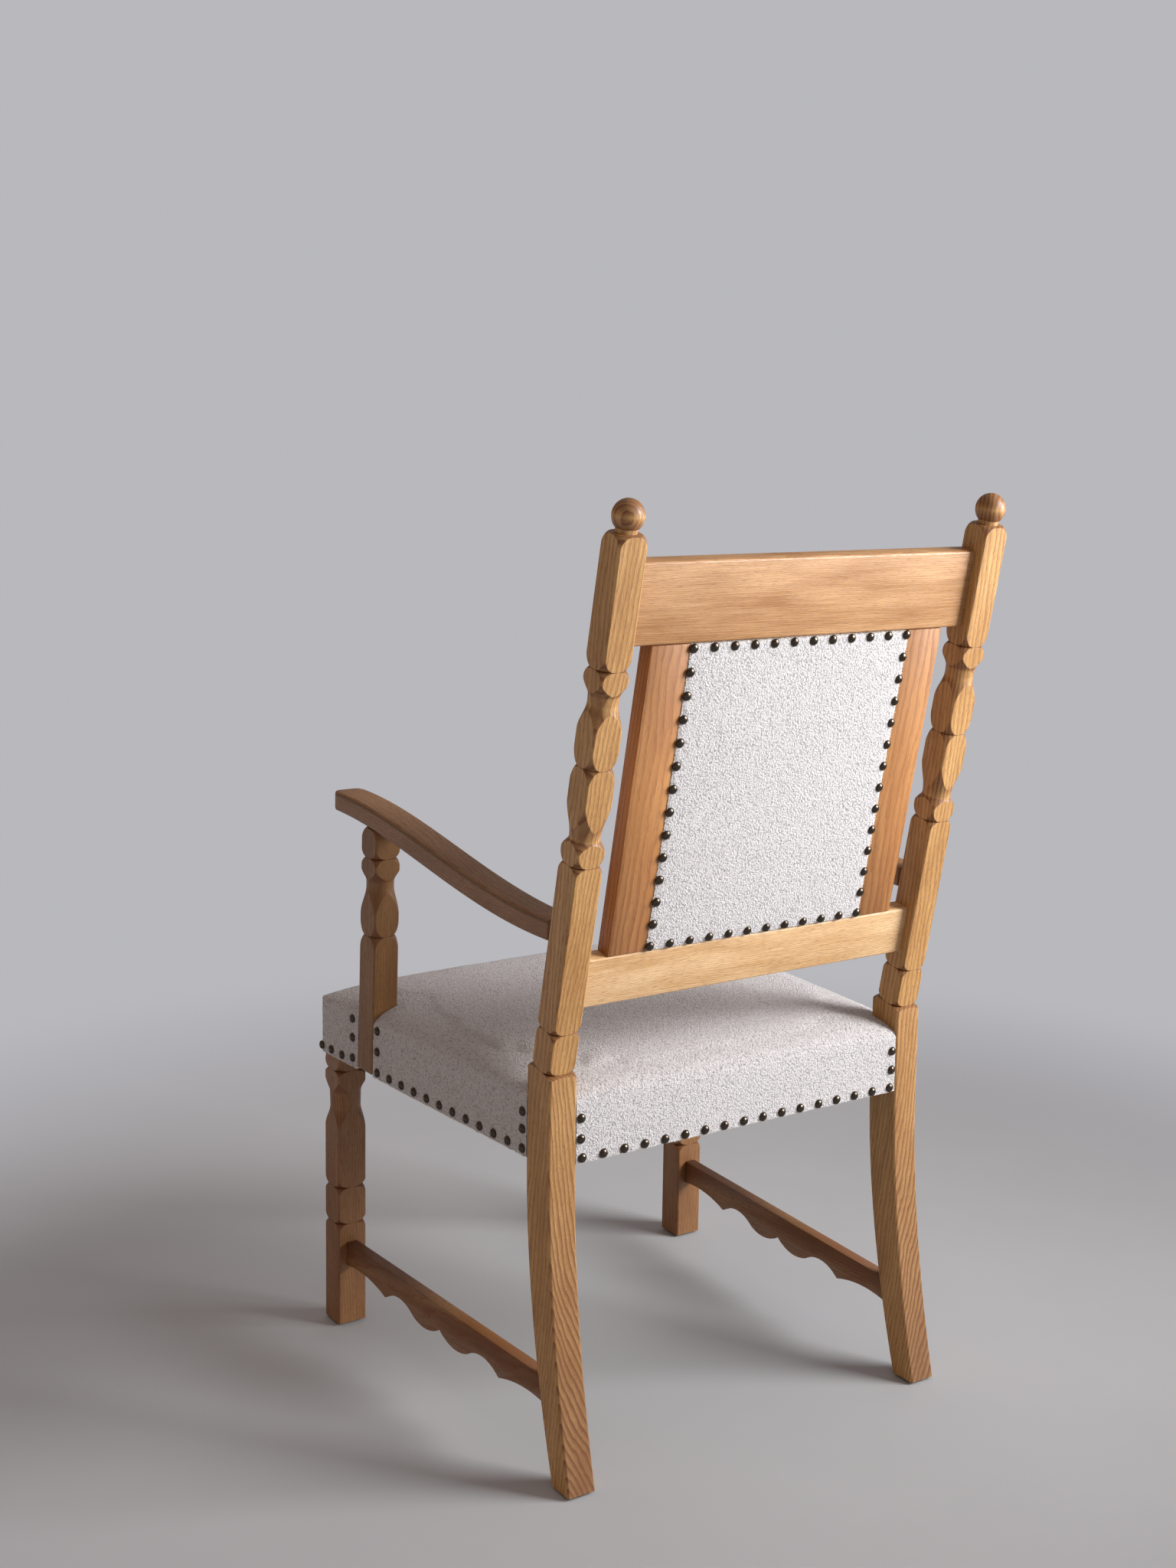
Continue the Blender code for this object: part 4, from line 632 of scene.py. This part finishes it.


# Seat cover: wool boucle drawn over the foam, cut round the posts and the arm supports, nailed to the rails.
# Its loops are about 2.4 mm across, matt and off-white, with grey, black and brown flecks spun in, and
# painted shade greys the crevices between them.
boucle, tree, where = material("wool_boucle")
bent = add(tree, "TexNoise", {"Vector": where, "Scale": 340.0, "Detail": 2.0}, "Color")
bent = add(tree, "VectorMath", {0: bent, 1: (0.0022, 0.0022, 0.0022), 2: where}, operation="MULTIPLY_ADD")
loops = add(tree, "TexVoronoi", {"Vector": bent, "Scale": 420.0}, "Distance", feature="SMOOTH_F1")
yarn = add(tree, "TexNoise", {"Vector": where, "Scale": 1500.0, "Detail": 2.0, "Roughness": 0.6})
clump = add(tree, "TexNoise", {"Vector": bent, "Scale": 800.0, "Detail": 2.0, "Roughness": 0.6})
height = add(tree, "Math", {0: loops, 1: -0.75, 2: clump}, operation="MULTIPLY_ADD")
height = add(tree, "Math", {0: yarn, 1: 0.30, 2: height}, operation="MULTIPLY_ADD")
# Painted shade: the crevices between the loops are darkened towards grey.
painted_crevice_shade = {"Value": height, "From Min": 0.34, "From Max": 0.12}
painted_crevice_shade = add(tree, "MapRange", painted_crevice_shade, interpolation_type="SMOOTHSTEP")
tone = add(tree, "Mix", {"Factor": yarn, 6: "#ded9d9", 7: "#f1eeee"}, 2, data_type="RGBA")
painted_shade_amount = add(tree, "Math", {0: painted_crevice_shade, 1: 0.62}, operation="MULTIPLY")
tone = add(tree, "Mix", {"Factor": painted_shade_amount, 6: tone, 7: "#9b9698"}, 2, data_type="RGBA")
picks = add(tree, "TexVoronoi", {"Vector": bent, "Scale": 620.0}).node.outputs
chance = add(tree, "SeparateColor", {0: picks["Color"]}).node.outputs
dark = add(tree, "MapRange", {"Value": chance[0], "From Min": 0.92, "From Max": 0.94})
core = add(tree, "MapRange", {"Value": picks["Distance"], "From Min": 0.50, "From Max": 0.25})
fleck = add(tree, "Math", {0: dark, 1: core}, operation="MULTIPLY")
hue = add(tree, "Mix", {"Factor": chance[1], 6: "#3c3a3e", 7: "#a08a82"}, 2, data_type="RGBA")
tone = add(tree, "Mix", {"Factor": fleck, 6: tone, 7: hue}, 2, data_type="RGBA")
bump = add(tree, "Bump", {"Height": height, "Strength": 1.0, "Distance": 0.0030})
body = {"Base Color": tone, "Roughness": 0.93, "Normal": bump, "Sheen Weight": 0.25, "Sheen Roughness": 0.5}
body = add(tree, "BsdfPrincipled", body)
add(tree, "OutputMaterial", {"Surface": body})


def cushion(name, columns, rows, half_width, front, rear, top, base, steps, lip=0.0):
    """A domed top grid, denser at its edges, whose rim is drawn down to the base in steps, and closed below.

    A lip is a flat margin of cloth round the foot of the pad, for its nails.
    """
    bpy.ops.mesh.primitive_grid_add(x_subdivisions=columns, y_subdivisions=rows, size=2)
    pad = bpy.context.object
    pad.name = name
    tight = lambda share: 0.45 * share + 0.55 * math.sin(math.pi / 2 * share)
    for vert in pad.data.vertices:
        y = (front + rear) / 2 + tight(vert.co.y) * (rear - front) / 2
        x = tight(vert.co.x) * half_width(y)
        vert.co = x, y, top(x, y)
    chosen(pad, "edges", lambda edge: edge.is_boundary)
    foot = base + (LIP_HEIGHT if lip else 0.0)
    middle, half_length = (front + rear) / 2, (rear - front) / 2
    for step in range(steps + (2 if lip else 0)):
        bpy.ops.mesh.extrude_region_move()
        shape = bmesh.from_edit_mesh(pad.data)
        for vert in shape.verts:
            if vert.select and step < steps:
                vert.co.z += (foot - vert.co.z) / (steps - step)
            elif vert.select and step == steps:
                vert.co.x *= 1 + lip / half_width(vert.co.y)
                vert.co.y = middle + (vert.co.y - middle) * (1 + lip / half_length)
            elif vert.select:
                vert.co.z = base
        bmesh.update_edit_mesh(pad.data)
    bpy.ops.mesh.edge_face_add()
    return closed()


def ordered(piece):
    """Puts the faces in one set order. Extruding leaves it open, and what a simulation gives hangs on it."""
    points = [vert.co.copy() for vert in piece.data.vertices]
    faces = []
    for face in piece.data.polygons:
        corners = list(face.vertices)
        first = corners.index(min(corners))
        faces.append(corners[first:] + corners[:first])
    piece.data.clear_geometry()
    piece.data.from_pydata(points, [], sorted(faces))


def puffed(pad, held, pressure, cap):
    """Blows a closed pad up against its own stretch. Held says which points the frame holds still.

    Each point keeps what it rose, up to the cap, because the foam under it lets none sink in.
    """
    ordered(pad)
    rest = [(vert.co.copy(), vert.normal.copy()) for vert in pad.data.vertices]
    group = pad.vertex_groups.new(name="held")
    group.add([vert.index for vert in pad.data.vertices if held(vert.co)], 1.0, "REPLACE")
    edit(pad)
    bpy.ops.object.mode_set(mode="OBJECT")
    cloth = pad.modifiers.new("cloth", "CLOTH")
    cloth.settings.quality = 6
    cloth.settings.vertex_group_mass = "held"
    cloth.settings.use_pressure = True
    cloth.settings.uniform_pressure_force = pressure
    cloth.settings.effector_weights.gravity = 0
    cloth.settings.tension_stiffness = cloth.settings.compression_stiffness = 18
    cloth.point_cache.frame_start, cloth.point_cache.frame_end = 1, CLOTH_FRAMES
    for number in range(1, CLOTH_FRAMES + 1):
        bpy.context.scene.frame_set(number)
    bpy.ops.object.modifier_apply(modifier=cloth.name)
    bpy.context.scene.frame_set(1)
    pad.vertex_groups.clear()
    for vert, (start, normal) in zip(pad.data.vertices, rest):
        risen = max(0.0, (vert.co - start).dot(normal))
        vert.co = start + normal * (cap * math.tanh(risen / cap))


def finer(pad):
    """Halves every quad of a pad, so that its nubs have points to move."""
    chosen(pad, "faces", lambda face: len(face.verts) == 4)
    bpy.ops.mesh.subdivide(number_cuts=1)
    bpy.ops.object.mode_set(mode="OBJECT")


def nubbled(piece, height, ragged=lambda spot: 0.0):
    """Raises the cloth's nubs, 4 and 11 mm apart, and moves its cut edge by ragged in metres along Z."""
    normals = [vert.normal.copy() for vert in piece.data.vertices]
    for vert, normal in zip(piece.data.vertices, normals):
        nub = noise.noise(vert.co * 240) + 0.5 * noise.noise(vert.co * 90)
        vert.co += normal * (height * nub)
        vert.co.z += ragged(vert.co) * noise.noise(vert.co * 150)


CLOTH_FRAMES, LIP_HEIGHT = 20, 0.0030
SEAT_FRONT, SEAT_REAR, SEAT_BASE, SEAT_EDGE, SEAT_CROWN = -0.3217, 0.1958, 0.368, 0.438, 0.028
SEAT_CORNER, SUPPORT_DIP, CORNER_DIP = 0.012, 0.006, 0.004


def rounded_off(ahead, radius):
    """How far a corner of this radius stands back, at a point so far behind the front."""
    missing = max(0.0, radius - ahead)
    return radius - math.sqrt(max(0.0, radius**2 - missing**2))


def seat_half_width(y):
    return seat_side_x(y) - 0.0002 - rounded_off(y - SEAT_FRONT, SEAT_CORNER)


def seat_top(x, y):
    """A crown that rolls over to upright sides. The cloth is drawn down where it is cut round the wood."""
    across = min(1.0, abs(x) / seat_side_x(y))
    middle = (SEAT_FRONT + SEAT_REAR) / 2
    along = min(1.0, abs(y - middle) / (SEAT_REAR - middle))
    full = SEAT_EDGE + SEAT_CROWN * (1 - across**5) ** 0.5 * (1 - along**5) ** (1 / 2.4)
    near = math.exp(-(((y - SUPPORT_Y) / 0.030) ** 2)) * max(0.0, (across - 0.80) / 0.20) ** 1.5
    corner = math.exp(-(((y - SEAT_REAR) / 0.045) ** 2)) * max(0.0, (across - 0.70) / 0.30) ** 2
    return full - SUPPORT_DIP * near - CORNER_DIP * corner


def notched(piece, notches):
    """Cuts notches through a cloth. Each is a list of planes, as a point and the way out of the notch."""
    for planes in notches:
        for point, out in planes:
            edit(piece)
            bpy.ops.mesh.bisect(plane_co=point, plane_no=out)
    within = lambda spot, planes: all((spot - point).dot(out) < 1e-6 for point, out in planes)
    chosen(piece, "faces", lambda face: any(within(face.calc_center_median(), planes) for planes in notches))
    bpy.ops.mesh.delete(type="FACE")
    bpy.ops.object.mode_set(mode="OBJECT")


def walled(piece, thickness, way):
    """Gives a cloth a thickness, outwards where the way is 1 and inwards where it is -1."""
    wall = piece.modifiers.new("wall", "SOLIDIFY")
    wall.thickness, wall.offset = thickness, way
    bpy.ops.object.modifier_apply(modifier=wall.name)


def shelled(piece, base, thickness):
    """Opens a pad below, and gives its cloth a thickness inwards."""
    chosen(piece, "faces", lambda face: all(abs(vert.co.z - base) < 1e-4 for vert in face.verts))
    bpy.ops.mesh.delete(type="FACE")
    bpy.ops.object.mode_set(mode="OBJECT")
    walled(piece, thickness, -1)


seat = cushion("seat_cover_boucle", 84, 76, seat_half_width, SEAT_FRONT, SEAT_REAR, seat_top, SEAT_BASE, 12)
puffed(seat, lambda spot: spot.z < 0.425, 3.0, 0.0025)
finer(seat)
CUT_GAP = 0.0006  # between the cloth and the wood it is cut round
notches = []
for side in (1, -1):
    flip = Matrix.Diagonal((side, 1, 1, 1))
    inner = Vector((side * (POST_X - POST_HALF - CUT_GAP), 0, 0)), Vector((-side, 0, 0))
    notches.append([inner, (Vector((0, POST_FRONT - CUT_GAP, 0)), Vector((0, -1, 0)))])
    planes = []
    for x, y, out in ((-0.0189, 0, (-1, 0, 0)), (0, -0.0187, (0, -1, 0)), (0, 0.0187, (0, 1, 0))):
        planes.append((flip @ stand @ Vector((x, y, 0)), (flip @ stand).to_3x3() @ Vector(out)))
    notches.append(planes)
notched(seat, notches)
shelled(seat, SEAT_BASE, 0.003)
edit(seat)
closed()
nubbled(seat, 0.00035, lambda spot: 0.0011 if spot.z < SEAT_BASE + 0.0005 else 0.0)
smooth(50)
finished(seat, "seat_cover", boucle)


# Back cloth: the same boucle stretched over the outside back, level with the stiles and nailed to their lips.
# It is cut by hand, so that its edge wanders by up to a millimetre.
PANEL_GAP = 0.0004
low, high = opening_low + PANEL_GAP, opening_high - PANEL_GAP
flat_x = PANEL_X - PANEL_GAP


def panel_top(x, y):
    across, along = min(1.0, abs(x) / flat_x), min(1.0, abs(2 * y - low - high) / (high - low))
    return 0.0006 + 0.0022 * math.sqrt(1 - across**8) * math.sqrt(1 - along**8)


panel = cushion("back_rear_cover_boucle", 60, 70, lambda y: flat_x, low, high, panel_top, -0.0046, 3)
finer(panel)
for vert in panel.data.vertices:
    spread = 1 - 0.0032 * (0.7 + noise.noise((vert.co.x * 170, vert.co.y * 170, 3.0)))
    edge = max(abs(vert.co.x) / flat_x, abs(2 * vert.co.y - low - high) / (high - low))
    if edge > 0.975:
        vert.co.x *= spread
        vert.co.y = (low + high) / 2 + (vert.co.y - (low + high) / 2) * spread
nubbled(panel, 0.00035)
face_out = Matrix(((-1, 0, 0, 0), (0, 0, 1, 0), (0, 1, 0, 0), (0, 0, 0, 1)))
panel.data.transform(back_plane @ Matrix.Translation((0, BACK_REAR, 0)) @ face_out)
edit(panel)
closed()
smooth(60)
finished(panel, "back_rear_cover", boucle)


# Back pad: boucle over a foam block on the front of the back, lapped onto the stiles.
# It is nailed through a flat lip all round.
PAD_LIP, PAD_CORNER, PAD_EDGE, PAD_CROWN = 0.009, 0.006, 0.016, 0.012
PAD_IN = PAD_LIP + 0.0015  # from the rails, so that the lip clears them
pad_half, pad_low, pad_high = PANEL_X + 0.004, opening_low + PAD_IN, opening_high - PAD_IN


def pad_half_width(y):
    return pad_half - rounded_off(y - pad_low, PAD_CORNER)


def pad_top(x, y):
    across = min(1.0, abs(x) / pad_half)
    along = min(1.0, abs(2 * y - pad_low - pad_high) / (pad_high - pad_low))
    return PAD_EDGE + PAD_CROWN * math.sqrt(1 - across**4) * math.sqrt(1 - along**5)


PAD_BASE = 0.0004  # off the back frame
size = (pad_half_width, pad_low, pad_high, pad_top, PAD_BASE, 5)
front_pad = cushion("back_front_cover_boucle", 56, 64, *size, lip=PAD_LIP)
puffed(front_pad, lambda spot: spot.z < 0.010, 3.0, 0.003)
finer(front_pad)
shelled(front_pad, PAD_BASE, 0.0013)
nubbled(front_pad, 0.0003)
onto_front = back_plane @ Matrix.Translation((0, STILE_FRONT, 0)) @ Matrix.Rotation(math.pi / 2, 4, "X")
front_pad.data.transform(onto_front)
edit(front_pad)
closed()
smooth(60)
finished(front_pad, "back_front_cover", boucle)

FOAM_IN = 0.0024  # the foam's way in from the cloth's face
size = (lambda y: pad_half_width(y) - FOAM_IN, pad_low + FOAM_IN, pad_high - FOAM_IN)
block = cushion("back_foam_block", 24, 28, *size, lambda x, y: pad_top(x, y) - FOAM_IN, 0.0008, 2)
block.data.transform(onto_front)
smooth(40)
finished(block, "back_foam", foam)


# Nails: domed heads of pressed brass, 11.4 mm across, along every edge of the cloth and about 28 mm apart.
# Antique brass is nearly black, and rubbed a little brighter in places.
brass, tree, where = material("antique_brass")
worn = add(tree, "TexNoise", {"Vector": where, "Scale": 420.0, "Detail": 3.0})
NAIL_RADIUS, NAIL_FLATTENED = 0.0057, 0.62
tone = add(tree, "Mix", {"Factor": worn, 6: "#2e2926", 7: "#665c50"}, 2, data_type="RGBA")
gloss = add(tree, "MapRange", {"Value": worn, "To Min": 0.18, "To Max": 0.32})
metal = add(tree, "BsdfPrincipled", {"Base Color": tone, "Metallic": 1.0, "Roughness": gloss})
add(tree, "OutputMaterial", {"Surface": metal})
bpy.ops.mesh.primitive_uv_sphere_add(segments=14, ring_count=8, radius=NAIL_RADIUS)
nail = bpy.context.object
edit(nail)
bpy.ops.mesh.bisect(plane_co=(0, 0, 0), plane_no=(0, 0, 1), clear_inner=True, use_fill=True)
closed()
nail.data.transform(Matrix.Diagonal((1, 1, NAIL_FLATTENED, 1)))
nail.data.shade_smooth()


def nails(name, spots):
    """One row of nails as one piece. Each spot is a point on the cloth and the way out of it."""
    row = []
    for point, outwards in spots:
        copy, outwards = linked(name, nail.data.copy()), Vector(outwards)
        place = Matrix.Translation(Vector(point) + 0.0002 * outwards.normalized())
        copy.data.transform(place @ outwards.to_track_quat("Z", "X").to_matrix().to_4x4())
        row.append(copy)
    bpy.ops.object.select_all(action="DESELECT")
    for copy in row:
        copy.select_set(True)
    bpy.context.view_layer.objects.active = row[0]
    bpy.ops.object.join()
    joined = bpy.context.object
    joined.name = name
    finished(joined, None, brass)


side_out = Vector((math.cos(SPLAY), math.sin(SPLAY), 0))
HEM, BEHIND, AHEAD = 0.3765, -0.1744, -0.2350  # the row's height, and the columns beside a support
side_spots = [(BEHIND + 0.0287 * step, HEM) for step in range(12)]
side_spots += [(BEHIND, 0.4036), (BEHIND, 0.4304), (AHEAD, 0.4318), (AHEAD, 0.4070), (AHEAD, 0.3800)]
side_spots += [(0.1413, 0.3993), (0.1413, 0.4198), (-0.2620, HEM), (-0.2890, HEM), (-0.3130, HEM)]
for side, x in (("left", 1), ("right", -1)):
    spots = [((x * seat_side_x(y), y, z), (x * side_out.x, side_out.y, 0)) for y, z in side_spots]
    nails(f"nails_seat_{side}", spots)
rear_spots = [(-0.2290 + 0.028625 * step, 0.3736) for step in range(17)]
rear_spots += [(x, z) for x in (-0.231, 0.231) for z in (0.396, 0.420)]
nails("nails_seat_rear", [((x, SEAT_REAR, z), (0, 1, 0)) for x, z in rear_spots])
nails("nails_seat_front", [((-0.2790 + 0.0279 * step, SEAT_FRONT, HEM), (0, -1, 0)) for step in range(21)])


def round_edge(name, edge_x, low, high, spaces, level, out):
    """Nails round a rectangle of the back, 13 spaces up its sides and so many along its top and bottom."""
    rows = [(-edge_x + 2 * edge_x * step / spaces, z) for z in (low, high) for step in range(spaces + 1)]
    rows += [(x, low + (high - low) * step / 13) for x in (-edge_x, edge_x) for step in range(1, 13)]
    nails(name, [(back_plane @ Vector((x, level, z)), out) for x, z in rows])


out_back = back_plane.to_3x3() @ Vector((0, 1, 0))
size = (PANEL_X - 0.0042, opening_low + 0.0062, opening_high - 0.0052, 11)
round_edge("nails_back_rear", *size, BACK_REAR + 0.0012, out_back)
size = (pad_half + PAD_LIP / 2, pad_low - PAD_LIP / 2, pad_high + PAD_LIP / 2, 12)
round_edge("nails_back_front", *size, STILE_FRONT - PAD_BASE - LIP_HEIGHT, -out_back)


# Frayed ends: matt cream wool yarn, up to 0.8 mm thick, that stands out of every cut edge of the boucle.
# The ends are 1 to 3 mm long, and each bends its own way.
fray, tree, where = material("frayed_wool")
twist = add(tree, "TexNoise", {"Vector": where, "Scale": 900.0})
tone = add(tree, "Mix", {"Factor": twist, 6: "#d9cdb4", 7: "#f3ecdd"}, 2, data_type="RGBA")
body = add(tree, "BsdfPrincipled", {"Base Color": tone, "Roughness": 0.95})
add(tree, "OutputMaterial", {"Surface": body})
bpy.ops.mesh.primitive_cone_add(vertices=4, radius1=0.00034, radius2=0.00014, depth=0.0026)
yarn_end = bpy.context.object
chosen(yarn_end, "edges", lambda edge: abs(edge.verts[0].co.z - edge.verts[1].co.z) > 0.001)
bpy.ops.mesh.subdivide(number_cuts=2)
bpy.ops.object.mode_set(mode="OBJECT")
yarn_end.data.transform(Matrix.Translation((0, 0, 0.0007)))
for vert in yarn_end.data.vertices:  # a bend towards X
    vert.co.x += 60 * max(0.0, vert.co.z) ** 2


def frayed(name, edges, spacing, seed):
    """Yarn ends along edges of cloth. Each edge is its two ends, the way out of it and the cloth's face."""
    draw = random.Random(seed)
    corners, faces = [], []
    for edge in edges:
        start, end, out, face = [Vector(part) for part in edge]
        length, along = (end - start).length, (end - start).normalized()
        for step in range(int(length / spacing)):
            at = start.lerp(end, (step + draw.random()) * spacing / length)
            way = out.normalized() + face.normalized() * draw.uniform(-0.05, 0.35)
            way += along * draw.uniform(-0.8, 0.8)
            place = Matrix.Translation(at) @ way.to_track_quat("Z", "X").to_matrix().to_4x4()
            place = place @ Matrix.Rotation(draw.uniform(0, math.tau), 4, "Z")
            place = place @ Matrix.Scale(draw.uniform(0.45, 1.15), 4)
            faces += [[len(corners) + index for index in poly.vertices] for poly in yarn_end.data.polygons]
            corners += [place @ vert.co for vert in yarn_end.data.vertices]
    mesh = bpy.data.meshes.new(name)
    mesh.from_pydata(corners, [], faces)
    finished(linked(name, mesh), None, fray)


panel_edges = []
level = BACK_REAR + 0.0006
down, top = opening_low + 0.0012, opening_high - 0.0012
for side in (1, -1):
    ends = [back_plane @ Vector((side * (flat_x - 0.0006), level, z)) for z in (down, top)]
    panel_edges.append((*ends, (side, 0, 0), out_back))
    ends = [back_plane @ Vector((x, level, top if side > 0 else down)) for x in (-flat_x, flat_x)]
    panel_edges.append((*ends, back_plane.to_3x3() @ Vector((0, 0, side)), out_back))
frayed("fray_back_panel", panel_edges, 0.0013, 11)
low_z = SEAT_BASE + 0.0008
hem = []
for x, y, way in ((0.236, SEAT_REAR - 0.0005, 1), (0.284, SEAT_FRONT + 0.0005, -1)):
    hem.append(((-x, y, low_z), (x, y, low_z), (0, 0.2 * way, -1), (0, way, 0)))
for side in (1, -1):
    for ahead_y, behind_y in ((-0.309, SUPPORT_Y - 0.020), (SUPPORT_Y + 0.020, 0.1475)):
        ends = [(side * (seat_side_x(y) - 0.0005), y, low_z) for y in (ahead_y, behind_y)]
        hem.append((*ends, (side * 0.2, 0, -1), (side, 0, 0)))
frayed("fray_seat_hem", hem, 0.0015, 12)


# Dust cover: black cambric stapled under the rails and cut round the legs. It hangs a little in the middle.
# It is a thin plain weave, dull and faintly brown, its threads drawn 2.4 mm apart to show.
cambric, tree, where = material("black_cambric")
thread = {"Vector": where, "Scale": 420.0, "Distortion": 1.5}
warp, weft = [add(tree, "TexWave", thread, 1, bands_direction=axis) for axis in "XY"]
weave = add(tree, "Math", {0: warp, 1: weft}, operation="MULTIPLY")
matt(tree, weave, "#1d1c1c", "#3a3733", 0.9, 0.5, 0.0002)

under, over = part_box("dust_cover")
cover_x = lambda y: seat_side_x(y) - 0.0175
leg_cut, post_cut = Vector((0.2548, -0.2762)), Vector((0.2368, 0.1483))
bpy.ops.mesh.primitive_grid_add(x_subdivisions=60, y_subdivisions=56, size=2)
cover = bpy.context.object
cover.name = "dust_cover_cambric"
half_length, middle = (over[1] - under[1]) / 2, (over[1] + under[1]) / 2
for vert in cover.data.vertices:
    x, y = vert.co.x, vert.co.y
    sag = 0.0035 * (1 - x**2) * (1 - y**2)
    sag += 0.0004 * noise.noise((x * 9, y * 9, 0)) * (1 - x**4) * (1 - y**4)
    y = middle + y * half_length
    vert.co = x * cover_x(y), y, under[2] + 0.0001 - sag
notches = []
for side in (1, -1):
    for (x, y), way in ((leg_cut, 1), (post_cut, -1)):
        planes = [(Vector((side * x, 0, 0)), Vector((-side, 0, 0))), (Vector((0, y, 0)), Vector((0, way, 0)))]
        notches.append(planes)
notched(cover, notches)
walled(cover, 0.0008, 1)
edit(cover)
closed()
smooth(40)
finished(cover, "dust_cover", cambric)
flat_area = 2 * leg_cut.x * (leg_cut.y - under[1]) + 2 * post_cut.x * (over[1] - post_cut.y)
flat_area += (cover_x(leg_cut.y) + cover_x(post_cut.y)) * (post_cut.y - leg_cut.y)


# Glides: discs of pressed wool felt, dark, matt and hairy, glued under the four feet.
# The hairs are drawn 0.7 mm apart so that they show.
felt, tree, where = material("pressed_felt")
hairs = add(tree, "TexNoise", {"Vector": where, "Scale": 1400.0, "Detail": 4.0, "Roughness": 0.7})
matt(tree, hairs, "#2b231e", "#54483f", 0.98, 0.8, 0.0004)
dressed(felt, "glide")

bpy.data.objects.remove(yarn_end)
bpy.data.objects.remove(nail)
